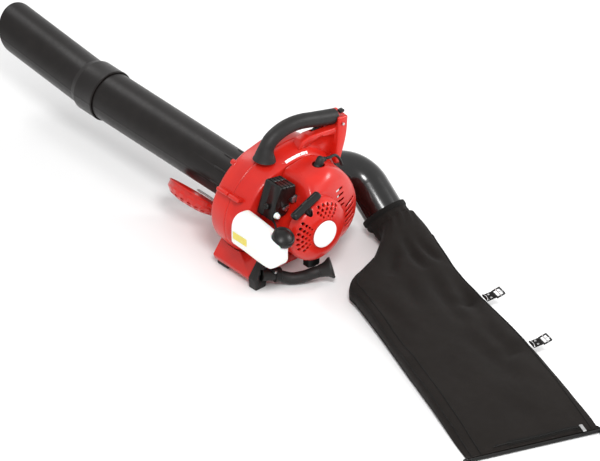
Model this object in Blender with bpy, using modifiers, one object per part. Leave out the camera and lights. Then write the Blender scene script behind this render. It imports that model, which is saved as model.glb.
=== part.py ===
"""A hand-held petrol leaf vacuum with its suction tube, outlet elbow and collection bag fitted.

+X is forward, the way the fan's outlet points, +Y is the suction tube's side and +Z is up. The fan turns
about an axis along Y, above the origin, and the machine stands on Z = 0. Numbers are in millimetres until a
mesh is made.
"""

import math

import bmesh
import bpy
from mathutils import Matrix, Vector

MM = 0.001
GAP = 0.3  # left between pieces that touch, so that no two share a volume
AXIS_Z = 149.0  # height of the fan's and the engine's shaft
AXIS = Vector((0, 0, AXIS_Z))
X, Y, Z = Vector((1, 0, 0)), Vector((0, 1, 0)), Vector((0, 0, 1))

# Outlines about the shaft, as (degrees from +X towards +Z, radius).
SCROLL = (
    (0, 176), (15, 176), (35, 160), (55, 148), (72, 130), (92, 116), (125, 112), (155, 116), (178, 126),
    (200, 131), (225, 131), (270, 126), (305, 128), (325, 140), (342, 168),
)
COVER = (
    (0, 162), (20, 152), (40, 140), (57, 134), (75, 112), (88, 106), (94, 99), (97, 72), (103, 54),
    (112, 46), (130, 43), (140, 44), (150, 54), (165, 67), (180, 72), (215, 75), (240, 78), (270, 78),
    (285, 84), (300, 104), (312, 132), (325, 158), (342, 168),
)
OUTLET_X = 168.0  # the flat face that the outlet opens in
OUTLET_Z = 146.0
SCROLL_WALL = 4.0
RIM_Y, SHOULDER_Y, BACK_Y = 55.0, 0.0, -50.0

TUBE_R = 57.0
TUBE_WALL = 2.6
TUBE_JOIN_Y = 547.0  # where the lower tube's socket begins
TUBE_END_Y = 880.0
TUBE_BEND = math.radians(5)  # the lower tube turns up a little beyond its socket
SOCKET_LENGTH = 76.0
ELBOW_R = 39.0
ELBOW_END_R = 47.0
ELBOW_WALL = 2.8
ELBOW_BEND_R = 70.0
ELBOW_DOWN = Vector((0, -0.78, -0.625)).normalized()
ELBOW_TAIL = 80.0

GUARD_REACH = 125.0  # from its pin to the middle of the dish
GUARD_HINGE = Vector((-87, 62, AXIS_Z))  # before the turn about the shaft
GUARD_TURN = math.radians(-48)  # takes the guard from the rear to below the tube

ENGINE_TILT = math.radians(30)  # the cylinder leans forward
CYLINDER_Y = -95.0
CYLINDER_DIR = Vector((math.sin(ENGINE_TILT), 0, math.cos(ENGINE_TILT)))
STARTER_R = 77.0
STARTER_Y = -150.0
BADGE_Y = -184.0

PULL_DIR = Vector((-0.29, 0.12, 0.95)).normalized()
GRIP_CENTRE = Vector((-37, -169, 229))
GRIP_ALONG = Vector((0.947, 0.114, 0.299))
GRIP_LENGTH = 90.0
STEM_LENGTH = 26.0
ROPE_EXIT = GRIP_CENTRE - PULL_DIR * 40

HANDLE_Y = -12.0
HANDLE_PATH = ((-24, 268), (-20, 290), (-8, 309), (14, 321), (45, 327), (81, 324), (125, 312), (180, 297))
LOWER_BAR_PATH = (
    (-100, -92, 33), (-72, -104, 27), (-42, -124, 15), (-18, -142, 19), (-4, -154, 27), (8, -162, 31),
)

BAG_WALL = 1.6
NECK_R = 50.4  # the bag's mouth, around the elbow
BAG_FAR_LEFT, BAG_FAR_RIGHT = Vector((-206, -902, 0)), Vector((99, -1006, 0))
BAG_ACROSS = (BAG_FAR_RIGHT - BAG_FAR_LEFT).normalized()
# Slices of the lying bag: left edge, right edge, height of the middle, half thickness and squareness.
BAG_SLICES = (
    ((188, -165), (302, -160), 48, 42, 2.1),
    ((150, -194), (302, -188), 40, 36, 2.3),
    ((106, -218), (294, -226), 33, 32, 2.6),
    ((42, -238), (280, -268), 29.5, 29, 3.0),
    ((4, -264), (264, -312), 28.5, 28, 3.3),
    ((-6, -304), (242, -373), 28, 27.5, 3.5),
    ((-42, -420), (213, -501), 27, 26.5, 3.6),
    ((-92, -566), (179, -667), 25, 24.5, 3.6),
    ((-141, -712), (139, -831), 20.5, 20, 3.6),
    ((-180, -826), (113, -940), 13.5, 13, 3.6),
    ((-200, -886), (102, -992), 8.5, 8, 3.6),
    ((-206, -902), (99, -1006), 4.7, 4.2, 3.6),
)
COLOURS = {
    "red_plastic": (0.72, 0.03, 0.03),
    "black_plastic": (0.02, 0.02, 0.02),
    "black_rubber": (0.025, 0.025, 0.025),
    "white_plastic": (0.86, 0.86, 0.84),
    "yellow_label": (0.85, 0.75, 0.15),
    "steel": (0.6, 0.6, 0.6),
    "aluminium": (0.55, 0.56, 0.58),
    "black_fabric": (0.03, 0.027, 0.025),
    "foam": (0.12, 0.12, 0.1),
}


def collection(name, hidden):
    made = bpy.data.collections.new(name)
    made.hide_render = hidden
    bpy.context.scene.collection.children.link(made)
    return made


def materials():
    """One Principled material for each colour."""
    made = {}
    for name, colour in COLOURS.items():
        material = bpy.data.materials.new(name)
        material.use_nodes = True
        material.node_tree.nodes["Principled BSDF"].inputs["Base Color"].default_value = (*colour, 1)
        made[name] = material
    return made


for leftover in list(bpy.data.objects):
    bpy.data.objects.remove(leftover)
PARTS = collection("leaf_vacuum", hidden=False)
CUTTERS = collection("cutters", hidden=True)
MATERIALS = materials()


# Making meshes

def add_mesh(name, points, faces, material):
    """An object of these points, in millimetres, and faces; a helper shape when the material is None."""
    mesh = bpy.data.meshes.new(name)
    mesh.from_pydata([Vector(p) * MM for p in points], [], faces)
    shape = bmesh.new()
    shape.from_mesh(mesh)
    bmesh.ops.remove_doubles(shape, verts=shape.verts, dist=1e-6)
    bmesh.ops.delete(shape, geom=[e for e in shape.edges if e.is_wire], context="EDGES")
    bmesh.ops.recalc_face_normals(shape, faces=shape.faces)
    if shape.calc_volume(signed=True) < 0:
        bmesh.ops.reverse_faces(shape, faces=shape.faces)
    shape.to_mesh(mesh)
    shape.free()
    made = bpy.data.objects.new(name, mesh)
    if material:
        mesh.materials.append(MATERIALS[material])
        mesh.polygons.foreach_set("use_smooth", [True] * len(mesh.polygons))
        mesh.set_sharp_from_angle(angle=math.radians(32))
        PARTS.objects.link(made)
    else:
        made.display_type = "WIRE"
        CUTTERS.objects.link(made)
    return made


def walls(rows, columns, start=0, split=False):
    """Quads between neighbouring closed rings of points, or the two triangles of each."""
    faces = []
    for r in range(rows - 1):
        for c in range(columns):
            near, far = start + r * columns, start + (r + 1) * columns
            after = (c + 1) % columns
            if split:
                faces += [(near + c, near + after, far + after), (near + c, far + after, far + c)]
            else:
                faces.append((near + c, near + after, far + after, far + c))
    return faces


def loft(name, rings, material=None):
    """A solid through rings with the same number of points, closed at both ends."""
    count = len(rings[0])
    points = [p for ring in rings for p in ring]
    faces = walls(len(rings), count)
    faces += [tuple(range(count)), tuple(range(len(points) - count, len(points)))]
    return add_mesh(name, points, faces, material)


def shell(name, outer, inner, material=None, far_end_open=True):
    """A tube between outer rings and inner rings; when the far end isn't open, both skins are capped there."""
    count = len(outer[0])
    points = [p for ring in [*outer, *inner] for p in ring]
    inside = len(outer) * count
    faces = walls(len(outer), count, split=True) + walls(len(inner), count, inside, split=True)
    ends = [(0, inside)]
    if far_end_open:
        ends.append((inside - count, len(points) - count))
    else:
        faces += [tuple(range(inside - count, inside)), tuple(range(len(points) - count, len(points)))]
    for a, b in ends:
        faces += [(a + c, a + (c + 1) % count, b + (c + 1) % count, b + c) for c in range(count)]
    return add_mesh(name, points, faces, material)


def circle(centre, axis, radius, count=32, squash=1.0):
    """Points of a circle about an axis, or of an ellipse flattened across its second side."""
    axis = Vector(axis).normalized()
    side = (Z if abs(axis.z) < 0.8 else X).cross(axis).normalized()
    up = axis.cross(side)
    angles = [2 * math.pi * i / count for i in range(count)]
    return [Vector(centre) + side * math.cos(a) * radius + up * math.sin(a) * radius * squash for a in angles]


def lathe(name, profile, axis, centre=AXIS, material=None, count=48):
    """A closed profile of (radius, distance along the axis) turned about it."""
    along = Vector(axis).normalized()
    rings = [circle(Vector(centre) + along * h, axis, max(r, 0), count) for r, h in profile]
    points = [p for ring in rings for p in ring]
    faces = walls(len(rings), count)
    last = (len(rings) - 1) * count
    faces += [(last + c, last + (c + 1) % count, (c + 1) % count, c) for c in range(count)]
    return add_mesh(name, points, faces, material)


def rod(name, start, end, radius, material=None, count=24):
    start, end = Vector(start), Vector(end)
    rings = [circle(at, end - start, radius, count) for at in (start, end)]
    return loft(name, rings, material)


def box(name, low, high, material=None, turn=None, bevel=0.0):
    """A box between two corners, turned about its own centre, with its edges rounded."""
    low, high = Vector(low), Vector(high)
    centre, half = (low + high) / 2, (high - low) / 2
    turn = turn or Matrix.Identity(3)
    signs = [(-1, -1), (1, -1), (1, 1), (-1, 1)]
    rings = [
        [centre + turn @ Vector((sx * half.x, sy * half.y, s * half.z)) for sx, sy in signs] for s in (-1, 1)
    ]
    made = loft(name, rings, material)
    if bevel:
        add_bevel(made, bevel)
    return made


def add_bevel(target, width, segments=2, degrees=40):
    bevel = target.modifiers.new("round", "BEVEL")
    bevel.width = width * MM
    bevel.segments = segments
    bevel.limit_method = "ANGLE"
    bevel.angle_limit = math.radians(degrees)


def plate(name, outline, low, high, material=None, axis="Y"):
    """A flat outline, of (X, Z) points for axis Y or (X, Y) for axis Z, between two distances along the axis."""
    if axis == "Y":
        rings = [[Vector((x, h, z)) for x, z in outline] for h in (low, high)]
    else:
        rings = [[Vector((x, y, h)) for x, y in outline] for h in (low, high)]
    return loft(name, rings, material)


def smooth_path(points, steps):
    """A Catmull-Rom curve through points, with this many steps between each pair."""
    points = [Vector(p) for p in points]
    points = [2 * points[0] - points[1], *points, 2 * points[-1] - points[-2]]
    path = []
    for a, b, c, d in zip(points, points[1:], points[2:], points[3:]):
        for i in range(steps):
            t = i / steps
            bend = (2 * a - 5 * b + 4 * c - d) * t**2 + (3 * b - a - 3 * c + d) * t**3
            path.append(0.5 * (2 * b + (c - a) * t + bend))
    path.append(points[-2])
    return path


def path_rings(path, radius_at, count):
    """Circles along a path that turn as little as possible from one to the next."""
    rings = []
    last = len(path) - 1
    side = None
    for i, p in enumerate(path):
        ahead = (path[min(i + 1, last)] - path[max(i - 1, 0)]).normalized()
        if side is None:
            side = (Z if abs(ahead.z) < 0.8 else X).cross(ahead)
        side = (side - ahead * side.dot(ahead)).normalized()
        up = ahead.cross(side)
        r = radius_at(i / last)
        angles = [2 * math.pi * k / count for k in range(count)]
        rings.append([p + (side * math.cos(a) + up * math.sin(a)) * r for a in angles])
    return rings


def sweep(name, path, radius, material=None, count=16):
    radius_at = radius if callable(radius) else lambda t: radius
    return loft(name, path_rings(path, radius_at, count), material)


def boolean(target, tool, operation):
    """Cuts a helper shape out of the target, or joins it on."""
    modifier = target.modifiers.new(tool.name, "BOOLEAN")
    modifier.operation = operation
    modifier.solver = "EXACT"
    modifier.object = tool


def cut(target, *tools):
    for tool in tools:
        boolean(target, tool, "DIFFERENCE")


def join(target, *tools):
    for tool in tools:
        boolean(target, tool, "UNION")


def radius_of(outline, degrees):
    """The radius of a polar outline at an angle, eased between its listed points."""
    degrees %= 360
    listed = [*outline, (outline[0][0] + 360, outline[0][1])]
    for (a0, r0), (a1, r1) in zip(listed, listed[1:]):
        if a0 <= degrees <= a1:
            t = (degrees - a0) / (a1 - a0)
            return r0 + (r1 - r0) * (t * t * (3 - 2 * t) * 0.5 + t * 0.5)
    return listed[-1][1]


def polar_ring(outline, y, scale=1.0, inset=0.0, towards=0.0, round_r=STARTER_R, count=40, front=1e9):
    """Points at a distance along Y on a polar outline, drawn in part towards a circle."""
    ring = []
    for k in range(count):
        degrees = 360 * k / count
        angle = math.radians(degrees)
        r = radius_of(outline, degrees) * scale * (1 - towards) + round_r * towards - inset
        ring.append(Vector((min(r * math.cos(angle), front - inset), y, AXIS_Z + r * math.sin(angle))))
    return ring


# Fan housing and stand

def scroll_solid(name, sections, inset=0.0, material=None):
    rings = [polar_ring(SCROLL, y, scale, inset, front=OUTLET_X) for y, scale in sections]
    return loft(name, rings, material)


def about_shaft(piece):
    """Turns one of the guard's pieces about the fan's shaft, to where the guard hangs."""
    turn = Matrix.Rotation(GUARD_TURN, 4, "Y")
    piece.data.transform(Matrix.Translation(AXIS * MM) @ turn @ Matrix.Translation(-AXIS * MM))
    return piece


def fan_housing():
    tube_side = scroll_solid(
        "fan_housing_tube_side",
        ((RIM_Y, 0.955), (RIM_Y - 3, 0.985), (RIM_Y - 10, 1.01), (22, 1.03), (SHOULDER_Y + GAP, 1.035)),
        material="red_plastic",
    )
    engine_side = scroll_solid(
        "fan_housing_engine_side",
        ((SHOULDER_Y, 1.035), (-12, 1.02), (-40, 0.93), (BACK_Y, 0.88)),
        material="red_plastic",
    )
    cavity = (
        (RIM_Y - SCROLL_WALL, 0.97), (RIM_Y - 12, 1.0), (22, 1.03), (SHOULDER_Y, 1.035), (-12, 1.02),
        (-40, 0.93), (BACK_Y + SCROLL_WALL, 0.885),
    )
    space = scroll_solid("scroll_space", cavity, SCROLL_WALL)
    intake = rod("intake_hole", (0, 30, AXIS_Z), (0, 70, AXIS_Z), TUBE_R - TUBE_WALL - 2, count=48)
    outlet = rod("outlet_hole", (120, 0, OUTLET_Z), (200, 0, OUTLET_Z), 35.4, count=40)
    shaft = rod("shaft_hole", (0, -70, AXIS_Z), (0, -30, AXIS_Z), 12)
    cut(tube_side, space, intake, outlet)
    cut(engine_side, space, outlet, shaft)
    lean = Matrix.Rotation(math.radians(26), 3, "Y")
    rib_tube = box("rib_tube_side", (-124, 2, 202), (-104, 37, 212), turn=lean)
    rib_engine = box("rib_engine_side", (-124, -34, 202), (-104, -2, 212), turn=lean)
    join(tube_side, rib_tube)
    join(engine_side, rib_engine)
    cut(tube_side, rod("boss_screw_hole", (-58, 52, 243), (-58, 60, 243), 1.5, count=12))
    for low, high in ((114, 123), (175, 184)):
        join(tube_side, about_shaft(box(f"lug_{low}", (-92, 50, low), (-82, 67, high))))
    pin_hole = rod("pin_hole", GUARD_HINGE - Z * 50, GUARD_HINGE + Z * 50, 2.3, count=16)
    cut(tube_side, about_shaft(pin_hole))

    collar = ((35.1, 146), (35.1, 182), (31.5, 182), (31.5, 146))
    lathe("outlet_collar", collar, X, (0, 0, OUTLET_Z), "black_plastic", 40)

    outline = ((-98, 58), (-121, 26), (-116, 12), (84, 12), (92, 26), (70, 60), (40, 90), (-60, 90))
    stand = plate("base_stand", outline, -71, RIM_Y - 3, "red_plastic")
    outside = scroll_solid(
        "scroll_outside",
        ((80, 1.0), (RIM_Y - 3, 1.0), (22, 1.035), (SHOULDER_Y, 1.04), (-12, 1.035), (-40, 0.95), (-90, 0.9)),
        inset=-1.2,
    )
    cut(stand, outside, cover_solid("stand_cover_clear"))
    box("foot_pad_centre", (-34, -40, 0), (62, 44, 12 - GAP), "black_rubber", bevel=2)
    box("foot_pad_rear", (-112, 12, 0), (-84, 48, 12 - GAP), "black_rubber", bevel=2)


# Tubes, guard and elbow

def tubes():
    r, wall = TUBE_R, TUBE_WALL
    spigot = r - wall - 2.4
    upper = (
        (spigot, 48), (spigot, RIM_Y + GAP), (r, RIM_Y + GAP), (r, TUBE_JOIN_Y + SOCKET_LENGTH - 12),
        (r - wall, TUBE_JOIN_Y + SOCKET_LENGTH - 12), (r - wall, RIM_Y + 6), (spigot - wall, RIM_Y + 2),
        (spigot - wall, 48),
    )
    tube = lathe("suction_tube_upper", upper, Y, material="black_plastic", count=40)
    for degrees in (64, 104, 140, 176):
        angle = math.radians(degrees)
        out = Vector((math.cos(angle), 0, math.sin(angle)))
        start = AXIS + out * (r - 0.6) + Y * (RIM_Y + 4)
        join(tube, rod(f"tube_rib_{degrees}", start, start + Y * 78, 2.2, count=8))
    start, flare = TUBE_JOIN_Y, TUBE_JOIN_Y + SOCKET_LENGTH
    lower = (
        (60.4, start), (60.4, flare - 16), (54.5, flare), (54.5, TUBE_END_Y + 26), (51.9, TUBE_END_Y + 26),
        (51.9, flare), (57.6, flare - 10), (57.6, start),
    )
    end = lathe("suction_tube_lower", lower, Y, material="black_plastic", count=40)
    rise = math.tan(TUBE_BEND)
    for vertex in end.data.vertices:
        vertex.co.z += max(0, vertex.co.y - flare * MM) * rise
    slope = Matrix.Rotation(math.radians(-22), 3, "X")
    cut(end, box("tube_bevel", (-90, TUBE_END_Y, -30), (90, TUBE_END_Y + 160, 370), turn=slope))


def intake_guard():
    """The perforated guard, swung open on its pin so that it lies behind and below the suction tube."""
    centre = GUARD_HINGE + Y * GUARD_REACH
    dish = (
        (0.0, 30), (30, 29), (52, 24), (64, 14), (66.5, 0), (69, 0), (69, 3), (66.8, 3), (66.5, 15.4),
        (53.5, 26.4), (30.5, 31.8), (0.0, 32.6),
    )
    guard = about_shaft(lathe("intake_guard", dish, -X, centre + X * 8, "red_plastic", 32))
    rows = ((1, 0), (5, 22), (9, 44))
    for number, radius in rows:
        for k in range(number):
            angle = 2 * math.pi * (k + 0.25) / number
            at = centre + Vector((0, math.cos(angle), math.sin(angle))) * radius
            cut(guard, about_shaft(rod(f"guard_hole_{number}_{k}", at - X * 60, at + X * 20, 6.6, count=6)))
    knuckle = rod("guard_knuckle", GUARD_HINGE - Z * 24, GUARD_HINGE + Z * 24, 4.6, count=16)
    arm_end = GUARD_REACH - 63
    arm = box("guard_arm", GUARD_HINGE + Vector((-2, 2, -22)), GUARD_HINGE + Vector((7, arm_end, 22)))
    bore = rod("guard_bore", GUARD_HINGE - Z * 40, GUARD_HINGE + Z * 40, 2.3, count=16)
    join(guard, about_shaft(arm), about_shaft(knuckle))
    cut(guard, about_shaft(bore))
    about_shaft(rod("guard_hinge_pin", GUARD_HINGE - Z * 37, GUARD_HINGE + Z * 37, 2.0, "steel", 16))
    stay_path = smooth_path(((-72, 132, 143), (-71, 160, 145), (-71, 192, 147)), 4)
    about_shaft(sweep("guard_stay_rod", stay_path, 2.6, "steel", 12))


def elbow_path():
    """The elbow's centre line, as points and the directions there."""
    start = Vector((OUTLET_X + GAP, 0, OUTLET_Z))
    bend = Vector((OUTLET_X + 7, 0, OUTLET_Z))
    centre = bend + ELBOW_DOWN * ELBOW_BEND_R
    path = [(start, X)]
    steps = 9
    for i in range(steps + 1):
        a = math.pi / 2 * i / steps
        path.append((centre - ELBOW_DOWN * math.cos(a) * ELBOW_BEND_R + X * math.sin(a) * ELBOW_BEND_R,
                     X * math.cos(a) + ELBOW_DOWN * math.sin(a)))
    last = path[-1][0]
    path.append((last + ELBOW_DOWN * ELBOW_TAIL, ELBOW_DOWN))
    return path


def bend_rings(path, wall=0.0, count=24):
    """Rings square to the path, wider towards its end, drawn in by a wall thickness."""
    side = ELBOW_DOWN.cross(X).normalized()
    angles = [2 * math.pi * k / count for k in range(count)]
    rings = []
    for i, (p, ahead) in enumerate(path):
        radius = ELBOW_R + (ELBOW_END_R - ELBOW_R) * max(0, i - 1) / (len(path) - 2) - wall
        rings.append([p + (side * math.cos(a) + ahead.cross(side) * math.sin(a)) * radius for a in angles])
    return rings


def elbow():
    path = elbow_path()
    shell("elbow", bend_rings(path), bend_rings(path, ELBOW_WALL), "black_plastic")
    band = ((39.6, 169), (42, 169), (42, 176), (39.6, 176))
    lathe("elbow_clamp", band, X, (0, 0, OUTLET_Z), "black_plastic", 40)



# Collection bag

def bag_sections():
    """The bag's cross-sections, as centre, side, up and how square the outline is: the neck's circles, then
    slices of the bag on the floor."""
    end = elbow_path()[-1][0]
    up = ELBOW_DOWN.cross(X)
    sections = [(end - ELBOW_DOWN * 12, X * NECK_R, up * NECK_R, 2.0), (end, X * NECK_R, up * NECK_R, 2.0)]
    for left, right, middle, tall, square in BAG_SLICES:
        left, right = Vector((*left, 0)), Vector((*right, 0))
        sections.append(((left + right) / 2 + Z * middle, (right - left) / 2, Z * tall, square))
    return sections


def bag_ring(section, inset, count=32):
    centre, side, up, square = section
    side = side * (1 - inset * 1.5 / side.length)
    up = up * (1 - inset / up.length)
    ring = []
    for k in range(count):
        a = 2 * math.pi * k / count
        c, s = math.cos(a), math.sin(a)
        reach = (abs(c) ** square + abs(s) ** square) ** (-1 / square)
        ring.append(centre + side * c * reach + up * s * reach)
    return ring


def lying(ring):
    """The same ring with nothing below the floor."""
    return [Vector((p.x, p.y, max(p.z, 0.0))) for p in ring]


def bag():
    sections = bag_sections()
    outer = [lying(bag_ring(s, 0)) for s in sections]
    inner = [[Vector((p.x, p.y, max(p.z, BAG_WALL))) for p in bag_ring(s, BAG_WALL)] for s in sections[:-1]]
    shell("bag", outer, inner, "black_fabric", far_end_open=False)
    end, ahead = sections[1][0], ELBOW_DOWN
    band = [(NECK_R + r, h) for r, h in ((0.4, -9), (2.8, -8), (3.2, -3), (2.8, 2), (0.4, 3))]
    lathe("bag_neck_band", band, ahead, end - ahead * 4, "black_fabric", 28)
    beyond = BAG_ACROSS.cross(Z) * 4.6 + Z * 4.6
    rod("bag_end_rod", BAG_FAR_LEFT - BAG_ACROSS * 5 + beyond, BAG_FAR_RIGHT + BAG_ACROSS * 5 + beyond, 3.8,
        "black_plastic", 12)


def strap(name, near, far, height):
    """A webbing tab on the bag's right edge, between two points of it, and the buckle hooked on its end."""
    near, far = Vector((*near, height)), Vector((*far, height))
    along = (far - near).normalized()
    out = Z.cross(along).normalized()
    middle = (near + far) / 2

    def place(points):
        return [middle + along * x + out * y + Z * z for x, y, z in points]

    tab = place([(-13, 1, 0), (13, 1, 0), (13, 24, 3), (-13, 24, 3)])
    loft(f"strap_tab_{name}", [tab, [p + Z * 2.2 for p in tab]], "black_fabric")

    def layer(outline, lift):
        return place([(x, y, lift + (y - 26) * 0.3) for x, y in outline])

    outer = [(-15, 25), (15, 25), (15, 46), (-15, 46)]
    inner = [(-12, 28), (12, 28), (12, 43), (-12, 43)]
    shell(f"buckle_{name}", [layer(outer, 2), layer(outer, 5)], [layer(inner, 2), layer(inner, 5)], "steel")


# Handles and controls

def handles():
    path = smooth_path([(x, HANDLE_Y, z) for x, z in HANDLE_PATH], 3)

    def grip_radius(t):
        return 17.5 + 9 * max(0, 1 - t * 5) ** 1.4

    grip = sweep("handle_grip", path, grip_radius, "black_rubber", 16)
    core_path = smooth_path([(x, HANDLE_Y, z) for x, z in HANDLE_PATH[:-1]] + [(196, HANDLE_Y, 291)], 3)
    core = sweep("handle_core", core_path, 8.0, "red_plastic", 8)
    cut(grip, sweep("grip_bore", core_path, 8.6, count=8))
    outside = scroll_solid(
        "handle_seat", ((30, 1.03), (SHOULDER_Y, 1.035), (-12, 1.02), (-40, 0.93), (BACK_Y, 0.88)), inset=-GAP,
    )
    cut(grip, outside)
    cut(core, outside)

    top = [(176, -34, 304), (204, -34, 299), (206, 10, 300), (178, 10, 306)]
    middle = [(164, -44, 258), (190, -44, 256), (193, 2, 258), (166, 2, 260)]
    low = [(146, -56, 204), (160, -56, 202), (162, -40, 202), (150, -40, 204)]
    rings = [[Vector(p) for p in ring] for ring in (top, middle, low)]
    bracket = loft("handle_bracket", rings, "red_plastic")
    web_outline = ((176, 280), (166, 206), (120, 206), (74, 230), (58, 268), (70, 285), (92, 290), (128, 286))
    join(bracket, plate("bracket_web", web_outline, -34, -6))
    clear = sweep("bracket_clear", path, lambda t: grip_radius(t) + GAP)
    core_clear = sweep("core_clear", core_path, 9.0, count=12)
    cut(bracket, clear, core_clear, outside)
    slot = box("trigger_slot", (108, HANDLE_Y - 5, 270), (156, HANDLE_Y + 5, 296.5))
    cut(bracket, slot)
    cut(grip, slot)
    lever = ((152, 296), (148, 300), (141, 296), (118, 287), (113, 278), (121, 277), (132, 285), (144, 289))
    for piece, low_z in ((core, 270), (grip, 270), (bracket, 266)):
        room = ((158, 302), (136, 301), (106, 288), (106, low_z), (150, 270))
        cut(piece, plate(f"trigger_clear_{piece.name}", room, HANDLE_Y - 4.6, HANDLE_Y + 4.6))
    plate("throttle_trigger", lever, HANDLE_Y - 4, HANDLE_Y + 4, "black_plastic")
    rod("bracket_screw", (184, -42, 288), (184, -38.4, 288), 3.4, "steel", 12)
    box("stop_switch", (190, -24, 304.8), (202, -12, 311), "black_plastic", bevel=1)


def lower_handle():
    rings = []
    for y, grow in ((-71.4, 0), (-95, -5)):
        outline = [(-98 - grow, 58 + grow), (-122, 26), (-120, 0), (-92, 0), (-78 + grow, 30), (-80 + grow, 52 + grow)]
        rings.append([Vector((x, y, z)) for x, z in outline])
    boot = loft("lower_handle_boot", rings, "black_rubber")
    bar_path = smooth_path(LOWER_BAR_PATH, 4)
    bar = sweep("lower_handle_bar", bar_path, 13.5, "black_rubber", 14)
    end_dir = (bar_path[-1] - bar_path[-2]).normalized()
    end = bar_path[-1]
    profile = ((0, 0.3), (14, 0.3), (15, 8), (21, 22), (24.5, 26), (24.5, 31), (0, 31))
    lathe("lower_handle_end", profile, end_dir, end, "black_rubber", 24)
    start = bar_path[0]
    head = (bar_path[1] - bar_path[0]).normalized()
    clear = sweep("bar_clear", [start - head * 6, *bar_path[:8]], 13.8, count=18)
    cut(boot, clear)
    ring = ((13, 0), (17, 0), (17, 14), (13, 14))
    clamp = lathe("lower_handle_clamp", ring, head, start + head * 30, "black_plastic", 24)
    join(clamp, box("clamp_ear", (-82, -112, 30), (-70, -100, 46)))
    cut(clamp, sweep("clamp_clear", bar_path, 13.9, count=24))
    foot = ((0, -136, 68), (32, -136, 68), (32, -118, 68), (0, -118, 68))
    knee = ((-10, -146, 40), (14, -156, 40), (14, -130, 40), (-10, -128, 40))
    rings = [[Vector(p) for p in ring] for ring in (foot, knee)]
    bracket = loft("lower_handle_bracket", rings, "black_plastic")
    around_end = ((0, -4), (15, -4), (22, 22), (26, 26), (26, 36), (0, 36))
    end_clear = lathe("bracket_end_clear", around_end, end_dir, end, count=24)
    under_starter = rod("starter_clear", (0, -180, AXIS_Z), (0, -149, AXIS_Z), STARTER_R + 0.5, count=48)
    cut(bracket, sweep("bracket_bar_clear", bar_path, 13.9, count=18), end_clear, under_starter,
        cover_solid("bracket_cover_clear"))


# Engine

def along_cylinder(distance):
    return AXIS + Y * CYLINDER_Y + CYLINDER_DIR * distance


def rotor():
    disc = ((0, -38), (98, -38), (98, -35), (18, -32), (18, 20), (0, 20))
    fan = lathe("impeller", disc, Y, material="black_plastic", count=28)
    for k in range(8):
        turn = Matrix.Rotation(2 * math.pi * k / 8, 3, "Y")
        blade = box(f"blade_{k}", (10, -36.5, -1.5), (97, 36, 1.5))
        for vertex in blade.data.vertices:
            vertex.co = turn @ vertex.co + AXIS * MM
        join(fan, blade)
    cut(fan, rod("fan_bore", (0, -60, AXIS_Z), (0, 40, AXIS_Z), 7.3))
    rod("crankshaft", (0, -146, AXIS_Z), (0, 16, AXIS_Z), 7.0, "steel")
    wheel = ((7.3, -56), (38, -56), (38, -70), (32, -70), (30, -62), (14, -62), (14, -72), (7.3, -72))
    lathe("flywheel", wheel, Y, material="aluminium", count=24)


def engine():
    case = ((8, -78), (28, -78), (35, -84), (35, -112), (28, -122), (8, -122), (8, -118), (24, -118), (31, -110),
            (31, -86), (24, -82), (8, -82))
    crankcase = lathe("crankcase", case, Y, material="aluminium", count=20)
    neck = rod("case_neck", along_cylinder(30), along_cylinder(44), 24)
    cut_bore = rod("case_bore", along_cylinder(20), along_cylinder(50), 17)
    join(crankcase, neck)
    cut(crankcase, cut_bore)
    profile = [(17, 44.3), (24, 44.3)]
    for k in range(5):
        base = 50 + k * 8
        profile += [(22, base), (27, base), (27, base + 3), (22, base + 3)]
    profile += [(22, 92), (4.2, 92), (4.2, 84), (17, 84)]
    lathe("cylinder", profile, CYLINDER_DIR, AXIS + Y * CYLINDER_Y, "aluminium", 20)
    plug = ((0, 80), (3.9, 80), (3.9, 92.3), (8, 92.3), (8, 98), (4.5, 99), (4.5, 108), (0, 108))
    lathe("spark_plug", plug, CYLINDER_DIR, AXIS + Y * CYLINDER_Y, "steel", 16)
    boot = ((0, 108.3), (8.5, 108.3), (10, 120), (9.5, 138), (6, 146), (0, 147))
    cap = lathe("spark_plug_boot", boot, CYLINDER_DIR, AXIS + Y * CYLINDER_Y, "black_rubber", 20)
    outlet = along_cylinder(134)
    join(cap, rod("boot_snout", outlet, outlet + Vector((16, 0, 1)), 5.5, count=16))
    lead = smooth_path(
        (outlet + Vector((18, 0, 1)), outlet + Vector((30, 2, -3)), (122, -84, 253), (146, -72, 226), (156, -68, 205)), 4,
    )
    sweep("ignition_lead", lead, 3.6, "black_rubber", 8)
    box("ignition_coil", (46, -72, 168), (66, -58, 196), "black_plastic", bevel=1.5)
    muffler = box("muffler", (66, -112, 114), (106, -64, 166), "steel", bevel=3)
    cut(muffler, rod("exhaust_hole", (96, -88, 132), (120, -88, 132), 5, count=16))
    box("carburettor", (-24, -108, 199), (-9, -84, 214), "aluminium", bevel=1.5)


def cover_sections(inset):
    sections = ((-54, 0.0), (-75, 0.0), (-98, 0.02), (-118, 0.1), (-134, 0.36), (-146, 0.76), (STARTER_Y, 1.0))
    return [polar_ring(COVER, y, inset=inset, towards=t, count=60) for y, t in sections]


def cover_solid(name):
    """The space that the engine cover fills, with room around it."""
    rings = cover_sections(-0.8)
    return loft(name, [[p + Y * 2 for p in rings[0]], *rings])


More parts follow.
